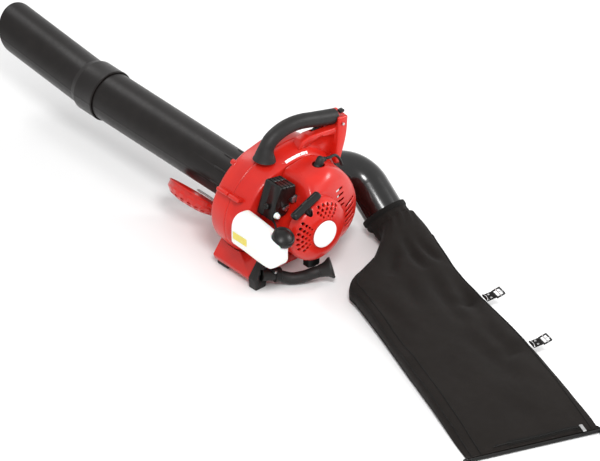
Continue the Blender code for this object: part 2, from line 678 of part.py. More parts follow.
def covers():
    cover = shell("engine_cover", cover_sections(0), cover_sections(3.5), "red_plastic")
    cut(cover, rod("boot_hole", along_cylinder(90), along_cylinder(150), 14))
    for k in range(4):
        z = 207 - k * 13
        cut(cover, box(f"louvre_{k}", (72, -165, z - 2.4), (96, -128, z + 2.4)))
    lean = Matrix.Rotation(math.radians(30), 3, "X")
    for k in range(5):
        z = 158 - k * 14
        cut(cover, box(f"grille_{k}", (100, -156, z - 2.8), (134, -122, z + 2.8), turn=lean))
    cut(cover, box("carburettor_hole", (-50, -110, 196), (-4, -82, 217)))

    dome = ((STARTER_R, -150.4), (STARTER_R, -162), (73, -173), (60, -183), (34, -189), (0.0, -190), (0.0, -187),
            (33, -186), (57, -180), (70, -171), (74, -161), (74, -150.4))
    starter = lathe("starter_cover", dome, Y, material="red_plastic", count=32)
    rings = ((46, 4, 4.6), (61, 6, 4.8))
    for radius, number, hole in rings:
        for k in range(number):
            for start in (28, 148):
                angle = math.radians(start + k * 74 / (number - 1))
                at = AXIS + Vector((math.cos(angle), 0, math.sin(angle))) * radius
                if at.x < -12 or at.x > 8:
                    tool = rod(f"vent_{radius}_{start}_{k}", at - Y * 200, at - Y * 140, hole, count=6)
                    cut(starter, tool)
    eye = rod("rope_eye", ROPE_EXIT - PULL_DIR * 6, GRIP_CENTRE + PULL_DIR * 8, 9.5, count=16)
    cut(starter, eye)
    badge = ((0, -190.3), (32.5, -190.3), (32.5, -192), (31, -193.5), (0, -193.5))
    lathe("starter_badge", badge, Y, material="white_plastic", count=40)
    reel = ((4, -152), (30, -152), (30, -155), (24, -155), (24, -161), (30, -161), (30, -164), (4, -164))
    lathe("starter_reel", reel, Y, material="black_plastic", count=20)


def starter_grip():
    stem = GRIP_CENTRE - PULL_DIR * STEM_LENGTH
    along = (GRIP_ALONG - PULL_DIR * GRIP_ALONG.dot(PULL_DIR)).normalized()
    half = GRIP_LENGTH / 2
    profile = [(0, -half), (7, -half), (9.5, -half + 3)]
    for k in range(5):
        at = -half + 8 + k * 15.6
        profile += [(9.5, at), (8.2, at + 3), (8.2, at + 7), (9.5, at + 10)]
    profile += [(9.5, half - 3), (7, half), (0, half)]
    grip = lathe("starter_grip", profile, along, GRIP_CENTRE, "black_plastic", 12)
    join(grip, rod("grip_stem", GRIP_CENTRE, stem, 7.5, count=12))
    rod("starter_rope", ROPE_EXIT, stem - PULL_DIR * GAP, 2.0, "black_fabric", 12)


# Fuel and air

def air_filter():
    rear_top, rear_low = Vector((-60, 0, 256)), Vector((-88, 0, 178))
    right_side = [(-15, 247), (-15, 219), (-35, 216), (-35, 188), (-46, 178)]
    outline = [rear_top, *(Vector((x, 0, z)) for x, z in right_side), rear_low]
    cover = plate("air_filter_cover", [(p.x, p.z) for p in outline], -111, -57, "black_plastic")
    add_bevel(cover, 5, 3)
    base_outline = ((-34.6, 210), (-31.8, 210), (-31.8, 192), (-34.6, 191))
    plate("air_filter_base", base_outline, -106, -66, "black_plastic")
    ahead = (rear_low - rear_top).normalized()
    out = Vector((ahead.z, 0, -ahead.x)).normalized()
    at = (rear_top + rear_low) / 2 + Y * -86 + ahead * 14
    lathe("filter_knob", ((0, 0.4), (7, 0.4), (7, 4), (5, 6), (0, 6)), out, at, "black_plastic", 20)
    lever = box("choke_lever", (-57, -114.5, 197), (-38, -111.5, 204), "steel", bevel=0.8)
    join(lever, rod("choke_button", (-52, -119, 200.5), (-52, -112, 200.5), 4.6, count=16))
    primer_at = Vector((-74, -110.4, 190))
    bulb = ((0, 0), (7.5, 0), (7.5, 3), (6.2, 8), (3.5, 10.5), (0, 11.2))
    lathe("primer_bulb", bulb, -Y, primer_at, "white_plastic", 20)
    cut(cover, rod("primer_recess", primer_at + Y * 4.4, primer_at - Y * 10, 8.0, count=24))


def fuel_tank():
    sections = (
        (-50.6, 122, 190, 5), (-56, 120, 194, 0), (-100, 118, 190, 0), (-140, 114, 184, 0), (-174, 112, 178, 3),
        (-188, 121, 169, 10),
    )
    outline = (
        (0.16, 0), (0.04, 0.07), (0, 0.17), (0, 0.6), (0.05, 0.8), (0.19, 0.94), (0.4, 1), (0.72, 0.98), (0.91, 0.9),
        (1, 0.76), (1, 0.4), (1, 0.14), (0.92, 0.04), (0.8, 0),
    )
    rings = []
    for y, low, high, inset in sections:
        rear, front = -156 + inset, -97 - inset
        rings.append([Vector((rear + (front - rear) * u, y, low + (high - low) * v)) for u, v in outline])
    tank = loft("fuel_tank", rings, "white_plastic")
    axis = Vector((0.08, -0.46, 0.88)).normalized()
    cap_at = Vector((-107, -173, 176))
    cut(tank, rod("cap_seat", cap_at - axis * 6.3, cap_at + axis * 30, 27, count=28))
    cap = ((0, -6), (25.6, -6), (26, 4), (23.5, 11), (15, 15), (0, 16.5))
    lathe("fuel_cap", cap, axis, cap_at, "black_plastic", 28)
    box("tank_label", (-157.4, -106, 140), (-156.3, -60, 158), "yellow_label")
    line = smooth_path(((-94, -124, 156), (-86, -122, 162), (-78, -112, 169), (-75, -98, 174.5)), 4)
    sweep("fuel_line", line, 2.6, "black_rubber", 8)


def zip_pull():
    ahead = BAG_ACROSS.cross(Z)
    at = BAG_FAR_RIGHT - BAG_ACROSS * 45 - ahead * 15 + Z * 16.4
    ring = [at + BAG_ACROSS * x + ahead * y for x, y in ((-4, 0), (4, 0), (4, 26), (-4, 26))]
    loft("zip_pull", [ring, [p + Z * 2 for p in ring]], "steel")


fan_housing()
tubes()
intake_guard()
elbow()
bag()
strap("upper", (222, -466), (216, -492), 26)
strap("lower", (181, -669), (175, -695), 24)
zip_pull()
handles()
lower_handle()
rotor()
engine()
covers()
starter_grip()
air_filter()
fuel_tank()
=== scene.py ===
"""Looks for the petrol leaf vacuum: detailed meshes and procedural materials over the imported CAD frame."""

import math

import bmesh
import bpy
import numpy as np
from mathutils import Matrix, Vector, noise


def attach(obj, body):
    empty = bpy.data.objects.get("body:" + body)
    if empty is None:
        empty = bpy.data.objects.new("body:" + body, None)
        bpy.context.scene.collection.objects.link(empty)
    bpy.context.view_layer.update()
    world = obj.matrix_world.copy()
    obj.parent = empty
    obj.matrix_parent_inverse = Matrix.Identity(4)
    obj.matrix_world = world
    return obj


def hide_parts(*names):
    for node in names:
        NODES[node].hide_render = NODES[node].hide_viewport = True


MM = 0.001
X, Y, Z = Vector((1, 0, 0)), Vector((0, 1, 0)), Vector((0, 0, 1))
AXIS_Z = 149.0  # height of the fan's shaft
AXIS = Vector((0, 0, AXIS_Z))
SQUARE = ((-1, -1), (1, -1), (1, 1), (-1, 1))  # the corners, in order round it

# Outlines about the shaft, as (degrees from +X towards +Z, radius in millimetres).
SCROLL = (
    (0, 176), (15, 176), (35, 160), (55, 148), (72, 130), (92, 116), (125, 112), (155, 116), (178, 126),
    (200, 131), (225, 131), (270, 126), (305, 128), (325, 140), (342, 168),
)
COVER = (
    (0, 162), (20, 152), (40, 140), (57, 134), (75, 112), (88, 106), (94, 99), (97, 72), (103, 54),
    (112, 46), (130, 43), (140, 44), (150, 54), (165, 67), (180, 72), (215, 75), (240, 78), (270, 78),
    (285, 84), (300, 104), (312, 132), (325, 158), (342, 168),
)
OUTLET_X, OUTLET_Z = 168.0, 146.0
RIM_Y, BACK_Y = 55.0, -50.0
SCROLL_WALL = 4.0
TUBE_R, TUBE_WALL = 57.0, 2.6
TUBE_JOIN_Y, TUBE_END_Y, SOCKET_LENGTH = 547.0, 880.0, 76.0
TUBE_BEND = math.radians(5)  # the lower tube turns up a little beyond its socket
ELBOW_R, ELBOW_END_R, ELBOW_WALL = 39.0, 47.0, 2.8
ELBOW_BEND_R, ELBOW_TAIL = 70.0, 80.0
ELBOW_DOWN = Vector((0, -0.78, -0.625)).normalized()
GUARD_REACH = 125.0  # from its pin to the middle of the dish
GUARD_HINGE = Vector((-87, 62, AXIS_Z))  # before the turn about the shaft
GUARD_TURN = math.radians(-48)  # takes the guard from the rear to below the tube
CYLINDER_Y = -95.0
CYLINDER_DIR = Vector((math.sin(math.radians(30)), 0, math.cos(math.radians(30))))
STARTER_R, STARTER_Y = 77.0, -150.0
PULL_DIR = Vector((-0.29, 0.12, 0.95)).normalized()
GRIP_CENTRE = Vector((-37, -169, 229))
GRIP_ALONG = Vector((0.947, 0.114, 0.299))
GRIP_LENGTH = 90.0
STEM_LENGTH = 26.0
HANDLE_Y = -12.0
HANDLE_PATH = ((-24, 268), (-20, 290), (-8, 309), (14, 321), (45, 327), (81, 324), (125, 312), (180, 297))
LOWER_BAR_PATH = (
    (-100, -92, 33), (-72, -104, 27), (-42, -124, 15), (-18, -142, 19), (-4, -154, 27), (8, -162, 31),
)
CAP_AT = Vector((-107, -173, 176))
CAP_R = 26.0
PRIMER_AT = Vector((-74, -110.4, 190))
CAP_AXIS = Vector((0.08, -0.46, 0.88)).normalized()

NECK_R = 50.4  # the bag's mouth, around the elbow
BAG_FAR_LEFT, BAG_FAR_RIGHT = Vector((-206, -902, 0)), Vector((99, -1006, 0))
BAG_ACROSS = (BAG_FAR_RIGHT - BAG_FAR_LEFT).normalized()

# Slices of the lying bag: left edge, right edge, height of the middle, half thickness and squareness.
BAG_SLICES = (
    ((188, -165), (302, -160), 48, 42, 2.1),
    ((150, -194), (302, -188), 40, 36, 2.3),
    ((106, -218), (294, -226), 33, 32, 2.6),
    ((42, -238), (280, -268), 29.5, 29, 3.0),
    ((4, -264), (264, -312), 28.5, 28, 3.3),
    ((-6, -304), (242, -373), 28, 27.5, 3.5),
    ((-42, -420), (213, -501), 27, 26.5, 3.6),
    ((-92, -566), (179, -667), 25, 24.5, 3.6),
    ((-141, -712), (139, -831), 20.5, 20, 3.6),
    ((-180, -826), (113, -940), 13.5, 13, 3.6),
    ((-200, -886), (102, -992), 8.5, 8, 3.6),
    ((-206, -902), (99, -1006), 4.7, 4.2, 3.6),
)
# Folds of the bag's top: start, end, width and depth.
BAG_FOLDS = (
    ((212, -212), (176, -330), 15, 14), ((240, -224), (226, -330), 12, 11), ((172, -222), (96, -300), 16, 11),
    ((180, -330), (92, -560), 20, 11), ((216, -372), (150, -560), 18, 11), ((206, -478), (132, -470), 16, 13),
    ((158, -682), (80, -690), 16, 11), ((86, -560), (50, -790), 26, 8), ((-20, -420), (-60, -560), 22, 8),
    ((110, -330), (60, -450), 20, 8), ((140, -560), (110, -700), 18, 8), ((20, -330), (-10, -520), 18, 6),
)
BAG_FRAMES, BAG_TRAVEL = 22, 6.0
# Straps on the bag's right edge: the body of the buckle, two points of the edge and their height.
STRAPS = (
    ("upper_buckle", (222, -466), (216, -492), 26),
    ("lower_buckle", (181, -669), (175, -695), 24),
)

# The camera looks down on the machine from its starter side and from behind.
CAMERA_AZIMUTH, CAMERA_ELEVATION = math.radians(-40.7), math.radians(33.7)
CAMERA_DISTANCE = 30.0
CAMERA_WIDTH = 1.338  # width of the picture at the shaft, in metres
CAMERA_SHIFT = (0.0691, -0.0725)  # from the shaft to the middle of the picture, right and up


# Meshes

def new_object(name, points, faces, sharp=35):
    """A smooth-shaded object of points in millimetres."""
    mesh = bpy.data.meshes.new(name)
    mesh.from_pydata([Vector(p) * MM for p in points], [], faces)
    shape = bmesh.new()
    shape.from_mesh(mesh)
    bmesh.ops.remove_doubles(shape, verts=shape.verts, dist=1e-6)
    bmesh.ops.delete(shape, geom=[e for e in shape.edges if e.is_wire], context="EDGES")
    bmesh.ops.recalc_face_normals(shape, faces=shape.faces)
    if shape.calc_volume(signed=True) < 0:
        bmesh.ops.reverse_faces(shape, faces=shape.faces)
    shape.to_mesh(mesh)
    shape.free()
    made = bpy.data.objects.new(name, mesh)
    bpy.context.scene.collection.objects.link(made)
    shade(made, sharp)
    return made


def shade(piece, degrees=35):
    piece.data.polygons.foreach_set("use_smooth", [True] * len(piece.data.polygons))
    piece.data.set_sharp_from_angle(angle=math.radians(degrees))


def walls(rows, columns, start=0, split=False):
    faces = []
    for r in range(rows - 1):
        for c in range(columns):
            near, far = start + r * columns, start + (r + 1) * columns
            after = (c + 1) % columns
            if split:
                faces += [(near + c, near + after, far + after), (near + c, far + after, far + c)]
            else:
                faces.append((near + c, near + after, far + after, far + c))
    return faces


def loft(name, rings, sharp=35):
    count = len(rings[0])
    points = [p for ring in rings for p in ring]
    faces = walls(len(rings), count)
    faces += [tuple(range(count)), tuple(range(len(points) - count, len(points)))]
    return new_object(name, points, faces, sharp)


def shell(name, outer, inner):
    """A hollow piece between outer and inner rings, open at both ends."""
    count = len(outer[0])
    points = [p for ring in [*outer, *inner] for p in ring]
    inside = len(outer) * count
    faces = walls(len(outer), count, split=True) + walls(len(inner), count, inside, split=True)
    for a, b in ((0, inside), (inside - count, len(points) - count)):
        faces += [(a + c, a + (c + 1) % count, b + (c + 1) % count, b + c) for c in range(count)]
    return new_object(name, points, faces)


def frame_of(axis):
    axis = Vector(axis).normalized()
    side = (Z if abs(axis.z) < 0.8 else X).cross(axis).normalized()
    return side, axis.cross(side)


def circle(centre, axis, radius, count=64):
    side, up = frame_of(axis)
    angles = [2 * math.pi * i / count for i in range(count)]
    return [Vector(centre) + (side * math.cos(a) + up * math.sin(a)) * radius for a in angles]


def lathe(name, profile, axis, centre=AXIS, count=96):
    """A closed profile of (radius, distance along the axis) turned about the axis."""
    axis = Vector(axis).normalized()
    rings = [circle(Vector(centre) + axis * h, axis, max(r, 0), count) for r, h in profile]
    points = [p for ring in rings for p in ring]
    faces = walls(len(rings), count)
    last = (len(rings) - 1) * count
    faces += [(last + c, last + (c + 1) % count, (c + 1) % count, c) for c in range(count)]
    return new_object(name, points, faces)


def rod(name, start, end, radius, count=32):
    start, end = Vector(start), Vector(end)
    return loft(name, [circle(start, end - start, radius, count), circle(end, end - start, radius, count)])


def box(name, low, high, turn=None):
    low, high = Vector(low), Vector(high)
    centre, half = (low + high) / 2, (high - low) / 2
    turn = turn or Matrix.Identity(3)
    return loft(name, [
        [centre + turn @ Vector((x * half.x, y * half.y, z * half.z)) for x, y in SQUARE] for z in (-1, 1)
    ])


def brick(name, at, along, across, up, half, low, high):
    """A box around a point: half is its reach along and across, and it stands from low to high."""
    corners = [at + along * a * half[0] + across * b * half[1] for a, b in SQUARE]
    return loft(name, [[p + up * h for p in corners] for h in (low, high)])


def plate(name, outline, low, high):
    return loft(name, [[Vector((x, h, z)) for x, z in outline] for h in (low, high)])


def ease(a, b, c, d, t):
    """The point at t between b and c on the smooth curve through four points."""
    return 0.5 * (
        2 * b + (c - a) * t + (2 * a - 5 * b + 4 * c - d) * t**2 + (3 * b - a - 3 * c + d) * t**3
    )


def smooth_path(points, steps):
    points = [Vector(p) for p in points]
    points = [2 * points[0] - points[1], *points, 2 * points[-1] - points[-2]]
    path = []
    for four in zip(points, points[1:], points[2:], points[3:]):
        path += [ease(*four, i / steps) for i in range(steps)]
    path.append(points[-2])
    return path


def closed_curve(points, steps):
    """A closed ring of points, with more points eased between them."""
    count = len(points)
    ring = []
    for i in range(count):
        four = [Vector(points[(i + k) % count]) for k in (-1, 0, 1, 2)]
        ring += [ease(*four, s / steps) for s in range(steps)]
    return ring


def between(rings, steps):
    """More rings, eased between the given ones."""
    columns = [smooth_path(column, steps) for column in zip(*rings)]
    return [list(ring) for ring in zip(*columns)]


def eased(sections, steps=4):
    return [(p.x, p.y) for p in smooth_path([(a, b, 0) for a, b in sections], steps)]


def path_rings(path, radius_at, count, squash=1.0):
    rings = []
    last = len(path) - 1
    side = None
    for i, p in enumerate(path):
        ahead = (path[min(i + 1, last)] - path[max(i - 1, 0)]).normalized()
        if side is None:
            side = (Z if abs(ahead.z) < 0.8 else X).cross(ahead)
        side = (side - ahead * side.dot(ahead)).normalized()
        up = ahead.cross(side)
        r = radius_at(i / last)
        angles = [2 * math.pi * k / count for k in range(count)]
        rings.append([p + side * math.cos(a) * r * squash + up * math.sin(a) * r for a in angles])
    return rings


def sweep(name, path, radius, count=32, squash=1.0):
    radius_at = radius if callable(radius) else lambda t: radius
    return loft(name, path_rings(path, radius_at, count, squash))


def bake(piece, sharp=35):
    """Applies the piece's modifiers."""
    graph = bpy.context.evaluated_depsgraph_get()
    graph.update()
    mesh = bpy.data.meshes.new_from_object(piece.evaluated_get(graph))
    piece.modifiers.clear()
    old = piece.data
    piece.data = mesh
    bpy.data.meshes.remove(old)
    shade(piece, sharp)


def carve(piece, tools, operation="DIFFERENCE"):
    """Cuts helper shapes out of a piece, or joins them on, and removes them."""
    for tool in tools:
        modifier = piece.modifiers.new("carve", "BOOLEAN")
        modifier.operation, modifier.solver, modifier.object = operation, "EXACT", tool
    bake(piece)
    for tool in tools:
        mesh = tool.data
        bpy.data.objects.remove(tool)
        bpy.data.meshes.remove(mesh)


def join_all(name, parts):
    """One object made of several closed shapes."""
    shape = bmesh.new()
    for part in parts:
        shape.from_mesh(part.data)
    mesh = bpy.data.meshes.new(name)
    shape.to_mesh(mesh)
    shape.free()
    for part in parts:
        old = part.data
        bpy.data.objects.remove(part)
        bpy.data.meshes.remove(old)
    made = bpy.data.objects.new(name, mesh)
    bpy.context.scene.collection.objects.link(made)
    shade(made)
    return made


def soften(piece, width, segments=2, degrees=35):
    """Rounds the piece's sharp edges."""
    bevel = piece.modifiers.new("soften", "BEVEL")
    bevel.width = width * MM
    bevel.segments = segments
    bevel.limit_method = "ANGLE"
    bevel.angle_limit = math.radians(degrees)
    bevel.harden_normals = True
    bake(piece, 60)


def round_outline(outline, count=240, blur=5.0):
    """Radii of a polar outline at even angles, with its corners eased."""
    degrees = np.arange(count) * 360 / count
    listed = np.array([*outline, (outline[0][0] + 360, outline[0][1])], float)
    radii = np.interp(degrees, listed[:, 0], listed[:, 1])
    reach = int(3 * blur * count / 360)
    offsets = np.arange(-reach, reach + 1) * 360 / count
    weights = np.exp(-0.5 * (offsets / blur) ** 2)
    weights /= weights.sum()
    return sum(w * np.roll(radii, k - reach) for k, w in enumerate(weights))


def polar_ring(radii, y, scale=1.0, inset=0.0, towards=0.0, front=1e9):
    count = len(radii)
    ring = []
    for k, r in enumerate(radii):
        angle = 2 * math.pi * k / count
        r = r * scale * (1 - towards) + STARTER_R * towards - inset
        ring.append(Vector((min(r * math.cos(angle), front - inset), y, AXIS_Z + r * math.sin(angle))))
    return ring


# Materials

class Paint:
    """A Principled material with nodes laid over it in object coordinates."""

    def __init__(self, name, colour, roughness, **sockets):
        self.material = bpy.data.materials.new(name)
        self.material.use_nodes = True
        self.nodes = self.material.node_tree.nodes
        self.links = self.material.node_tree.links
        self.shader = self.nodes["Principled BSDF"]
        self.colour, self.roughness = colour, roughness
        self.set("Base Color", (*colour, 1))
        self.set("Roughness", roughness)
        for socket, value in sockets.items():
            self.set(socket.replace("_", " "), value)
        self.place = self.nodes.new("ShaderNodeTexCoord").outputs["Object"]
        self.height = None

    def set(self, socket, value):
        self.shader.inputs[socket].default_value = value

    def link(self, output, node, socket):
        self.links.new(output, node.inputs[socket])

    def stretch(self, scale):
        """The object coordinates, scaled more along some axes than others."""
        mapping = self.nodes.new("ShaderNodeMapping")
        mapping.inputs["Scale"].default_value = scale
        self.link(self.place, mapping, "Vector")
        return mapping.outputs["Vector"]

    def noise(self, scale, detail=3.0, roughness=0.5, vector=None):
        node = self.nodes.new("ShaderNodeTexNoise")
        node.inputs["Scale"].default_value = scale
        node.inputs["Detail"].default_value = detail
        node.inputs["Roughness"].default_value = roughness
        self.link(vector or self.place, node, "Vector")
        return node.outputs["Fac"]

    def cells(self, scale):
        node = self.nodes.new("ShaderNodeTexVoronoi")
        node.inputs["Scale"].default_value = scale
        self.link(self.place, node, "Vector")
        return node.outputs["Distance"]

    def ramp(self, value, low, high, start=0.0, end=1.0):
        """The value's span from start to end, spread from low to high."""
        node = self.nodes.new("ShaderNodeMapRange")
        for socket, number in (("From Min", start), ("From Max", end), ("To Min", low), ("To Max", high)):
            node.inputs[socket].default_value = number
        self.link(value, node, "Value")
        return node.outputs["Result"]

    def product(self, a, b):
        node = self.nodes.new("ShaderNodeMath")
        node.operation = "MULTIPLY"
        self.links.new(a, node.inputs[0])
        self.links.new(b, node.inputs[1])
        return node.outputs[0]

    def tint(self, value, other):
        """Draws the base colour towards another where the value is high."""
        node = self.nodes.new("ShaderNodeMix")
        node.data_type = "RGBA"
        base = self.shader.inputs["Base Color"]
        if base.is_linked:
            self.links.new(base.links[0].from_socket, node.inputs[6])
        else:
            node.inputs[6].default_value = (*self.colour, 1)
        node.inputs[7].default_value = (*other, 1)
        self.links.new(value, node.inputs[0])
        self.links.new(node.outputs[2], base)

    def rough(self, value, low, high):
        self.link(self.ramp(value, low, high), self.shader, "Roughness")

    def bump(self, value, millimetres, strength=1.0):
        node = self.nodes.new("ShaderNodeBump")
        node.inputs["Distance"].default_value = millimetres * MM
        node.inputs["Strength"].default_value = strength
        self.link(value, node, "Height")
        if self.height:
            self.links.new(self.height, node.inputs["Normal"])
        self.height = node.outputs["Normal"]
        self.links.new(self.height, self.shader.inputs["Normal"])


def mottled(name, colour, roughness, tint, rough, bumps, **sockets):
    """A material whose colour, gloss and surface all vary with noise.

    tint is (scale, detail, most, start, end, other colour), rough is (scale, detail, low, high), and each
    bump is (scale, detail, millimetres, strength).
    """
    paint = Paint(name, colour, roughness, **sockets)
    scale, detail, most, start, end, other = tint
    paint.tint(paint.ramp(paint.noise(scale, detail), 0, most, start, end), other)
    scale, detail, low, high = rough
    paint.rough(paint.noise(scale, detail), low, high)
    for scale, detail, millimetres, strength in bumps:
        paint.bump(paint.noise(scale, detail), millimetres, strength)
    return paint.material


def red_plastic():
    """Moulded red plastic with a gloss, a faint orange peel and fine handling marks."""
    paint = Paint("red_plastic", (0.58, 0.015, 0.007), 0.3, Coat_Weight=0.12, Coat_Roughness=0.1,
                  Specular_IOR_Level=0.35)
    paint.tint(paint.ramp(paint.noise(18, 4), 0, 1, 0.35, 0.75), (0.49, 0.010, 0.006))
    scuffs = paint.noise(220, 6, 0.7, paint.stretch((1, 0.25, 0.6)))
    paint.rough(scuffs, 0.2, 0.42)
    paint.bump(paint.noise(700, 2), 0.05, 0.5)
    return paint.material


def grained_plastic(name, colour, roughness, grain, depth, shine=0.3):
    """Black moulded plastic with a spark-eroded grain."""
    paint = Paint(name, colour, roughness, Specular_IOR_Level=shine)
    lighter = tuple(c * 1.5 + 0.002 for c in colour)
    paint.tint(paint.ramp(paint.noise(35, 5), 0, 0.8, 0.4, 0.8), lighter)
    paint.rough(paint.noise(120, 4), roughness - 0.07, roughness + 0.09)
    paint.bump(paint.noise(grain, 3, 0.6), depth, 0.7)
    paint.bump(paint.cells(grain * 0.8), depth * 0.6, 0.4)
    return paint.material


def metal(name, colour, roughness, grain):
    dull = tuple(c * 0.55 for c in colour)
    return mottled(name, colour, roughness, (140, 5, 0.7, 0.4, 0.9, dull),
                   (grain, 4, roughness - 0.08, roughness + 0.14), [(grain * 2, 3, 0.05, 0.5)], Metallic=1.0)


def weave(name, colour, thread, sheen):
    """Plain-woven cloth: warp and weft threads that pass over and under each other."""
    paint = Paint(name, colour, 0.82, Sheen_Weight=sheen, Sheen_Roughness=0.45, Specular_IOR_Level=0.12)
    threads = []
    for turn in (0.33, 0.33 + math.pi / 2):
        wave = paint.nodes.new("ShaderNodeTexWave")
        wave.wave_type, wave.bands_direction = "BANDS", "X"
        wave.inputs["Scale"].default_value = thread
        wave.inputs["Distortion"].default_value = 0.6
        wave.inputs["Detail Scale"].default_value = 2.0
        mapping = paint.nodes.new("ShaderNodeMapping")
        mapping.inputs["Rotation"].default_value = (0, 0, turn)
        paint.link(paint.place, mapping, "Vector")
        paint.link(mapping.outputs["Vector"], wave, "Vector")
        threads.append(wave.outputs["Fac"])
    cloth = paint.product(*threads)
    paint.tint(paint.ramp(cloth, 0, 0.55), tuple(c * 1.9 + 0.002 for c in colour))
    paint.tint(paint.ramp(paint.noise(9, 4), 0, 0.5, 0.4, 0.75), tuple(c * 1.4 + 0.001 for c in colour))
    paint.rough(paint.noise(60, 3), 0.74, 0.92)
    paint.bump(cloth, 0.35, 0.7)
    paint.bump(paint.noise(70, 4), 0.6, 0.35)
    return paint.material


def floor_material():
    paint = Paint("floor", (0.87, 0.87, 0.87), 0.7)
    paint.tint(paint.ramp(paint.noise(3, 3), 0, 0.5, 0.4, 0.8), (0.84, 0.84, 0.84))
    return paint.material


MATERIALS = {
    "red": red_plastic(),
    "tube": grained_plastic("tube_plastic", (0.0062, 0.0045, 0.004), 0.35, 900, 0.12, 0.27),
    "black": grained_plastic("black_plastic", (0.0055, 0.0052, 0.005), 0.36, 1300, 0.07),
    "gloss": mottled(
        "black_gloss", (0.004, 0.0038, 0.0036), 0.2, (900, 2, 0.5, 0.6, 0.9, (0.009, 0.0088, 0.0085)),
        (60, 5, 0.16, 0.3), [(90, 3, 0.12, 0.35)],
        Coat_Weight=0.35, Coat_Roughness=0.08, Specular_IOR_Level=0.4,
    ),
    "rubber": mottled(
        "rubber", (0.0085, 0.0078, 0.0075), 0.5, (24, 4, 1, 0.35, 0.8, (0.017, 0.0155, 0.0148)),
        (150, 4, 0.42, 0.62), [(1500, 2, 0.06, 0.6)], Specular_IOR_Level=0.35,
    ),
    # Milky plastic that lets a little light through.
    "tank": mottled(
        "tank_plastic", (0.86, 0.86, 0.84), 0.36, (12, 3, 0.5, 0.4, 0.8, (0.78, 0.78, 0.74)),
        (80, 4, 0.3, 0.45), [(400, 3, 0.06, 0.5)], Subsurface_Weight=0.35, Subsurface_Scale=0.012,
    ),
    "white": mottled(
        "blank_white", (0.9, 0.9, 0.9), 0.3, (60, 4, 0.4, 0.5, 0.9, (0.82, 0.82, 0.81)),
        (160, 4, 0.24, 0.4), [], Coat_Weight=0.2,
    ),
    "label": mottled(
        "blank_label", (0.72, 0.6, 0.1), 0.4, (160, 5, 0.6, 0.5, 0.85, (0.82, 0.74, 0.3)),
        (200, 3, 0.34, 0.5), [(300, 2, 0.04, 0.4)],
    ),
    "steel": metal("steel", (0.62, 0.62, 0.62), 0.28, 260),
    "cast": metal("cast_aluminium", (0.5, 0.51, 0.53), 0.5, 500),
    "bag": weave("bag_cloth", (0.0095, 0.0076, 0.0066), 260, 0.03),
    "webbing": weave("webbing", (0.006, 0.0055, 0.005), 420, 0.04),
    "floor": floor_material(),
}


# Setting

def camera():
    azimuth, elevation = CAMERA_AZIMUTH, CAMERA_ELEVATION
    flat = Vector((-math.sin(azimuth), math.cos(azimuth), 0))
    look = (flat * math.cos(elevation) - Z * math.sin(elevation)).normalized()
    right = look.cross(Z).normalized()
    up = right.cross(look)
    target = AXIS * MM + right * CAMERA_SHIFT[0] + up * CAMERA_SHIFT[1]
    data = bpy.data.cameras.new("camera")
    data.sensor_width = 36
    data.lens = data.sensor_width * CAMERA_DISTANCE / CAMERA_WIDTH
    data.clip_end = 100
    made = bpy.data.objects.new("camera", data)
    made.matrix_world = Matrix.Translation(target - look * CAMERA_DISTANCE) @ Matrix(
        (right, up, -look)
    ).transposed().to_4x4()
    bpy.context.scene.collection.objects.link(made)
    bpy.context.scene.camera = made


def lamp(name, place, target, size, watts):
    data = bpy.data.lights.new(name, "AREA")
    data.shape, data.size, data.energy = "DISK", size, watts
    made = bpy.data.objects.new(name, data)
    place, target = Vector(place), Vector(target)
    made.location = place
    made.rotation_euler = (target - place).to_track_quat("-Z", "Y").to_euler()
    bpy.context.scene.collection.objects.link(made)


def studio():
    floor = new_object("floor", [(x * 9000, y * 9000, 0) for x, y in SQUARE], [(0, 1, 2, 3)])
    floor.location.z = -0.0004
    floor.data.materials.append(MATERIALS["floor"])
    world = bpy.data.worlds.new("studio")
    world.use_nodes = True
    world.node_tree.nodes["Background"].inputs["Color"].default_value = (1, 1, 1, 1)
    world.node_tree.nodes["Background"].inputs["Strength"].default_value = 0.85
    bpy.context.scene.world = world
    lamp("key", (-1.1, -1.8, 2.6), (0, -0.1, 0.1), 0.9, 60)
    lamp("fill", (2.3, -1.4, 1.4), (0.2, -0.1, 0.1), 0.8, 32)
    lamp("rim", (0.4, 2.6, 2.4), (0, 0, 0.1), 1.2, 14)
    bpy.context.scene.view_settings.view_transform = "Standard"


# Frame

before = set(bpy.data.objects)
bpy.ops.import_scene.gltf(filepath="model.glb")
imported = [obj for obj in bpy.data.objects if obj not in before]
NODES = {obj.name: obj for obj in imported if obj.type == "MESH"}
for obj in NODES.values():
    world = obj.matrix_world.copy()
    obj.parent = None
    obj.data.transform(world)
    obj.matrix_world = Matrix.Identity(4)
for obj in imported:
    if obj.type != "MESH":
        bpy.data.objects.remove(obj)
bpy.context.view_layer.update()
SCROLL_RADII, COVER_RADII = round_outline(SCROLL), round_outline(COVER, blur=4.0)


def fit(piece, finish, body, *nodes):
    """Gives a new piece its material and its body, and lets it stand for CAD nodes."""
    piece.data.materials.clear()
    piece.data.materials.append(MATERIALS[finish])
    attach(piece, body)
    if nodes:
        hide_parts(*nodes)
    return piece


def dress(finish, names, width=0.5):
    """Gives CAD nodes that keep their shape a material and rounded edges."""
    for name in names:
        node = NODES[name]
        node.data.materials.clear()
        node.data.materials.append(MATERIALS[finish])
        if "custom_normal" in node.data.attributes:
            node.data.attributes.remove(node.data.attributes["custom_normal"])
        node.data.polygons.foreach_set("use_smooth", [True] * len(node.data.polygons))
        node.modifiers.new("weld", "WELD").merge_threshold = 1e-5
        bevel = node.modifiers.new("round", "BEVEL")
        bevel.width = width * MM
        bevel.segments = 2
        bevel.limit_method = "ANGLE"
        bevel.angle_limit = math.radians(32)
        bevel.harden_normals = True


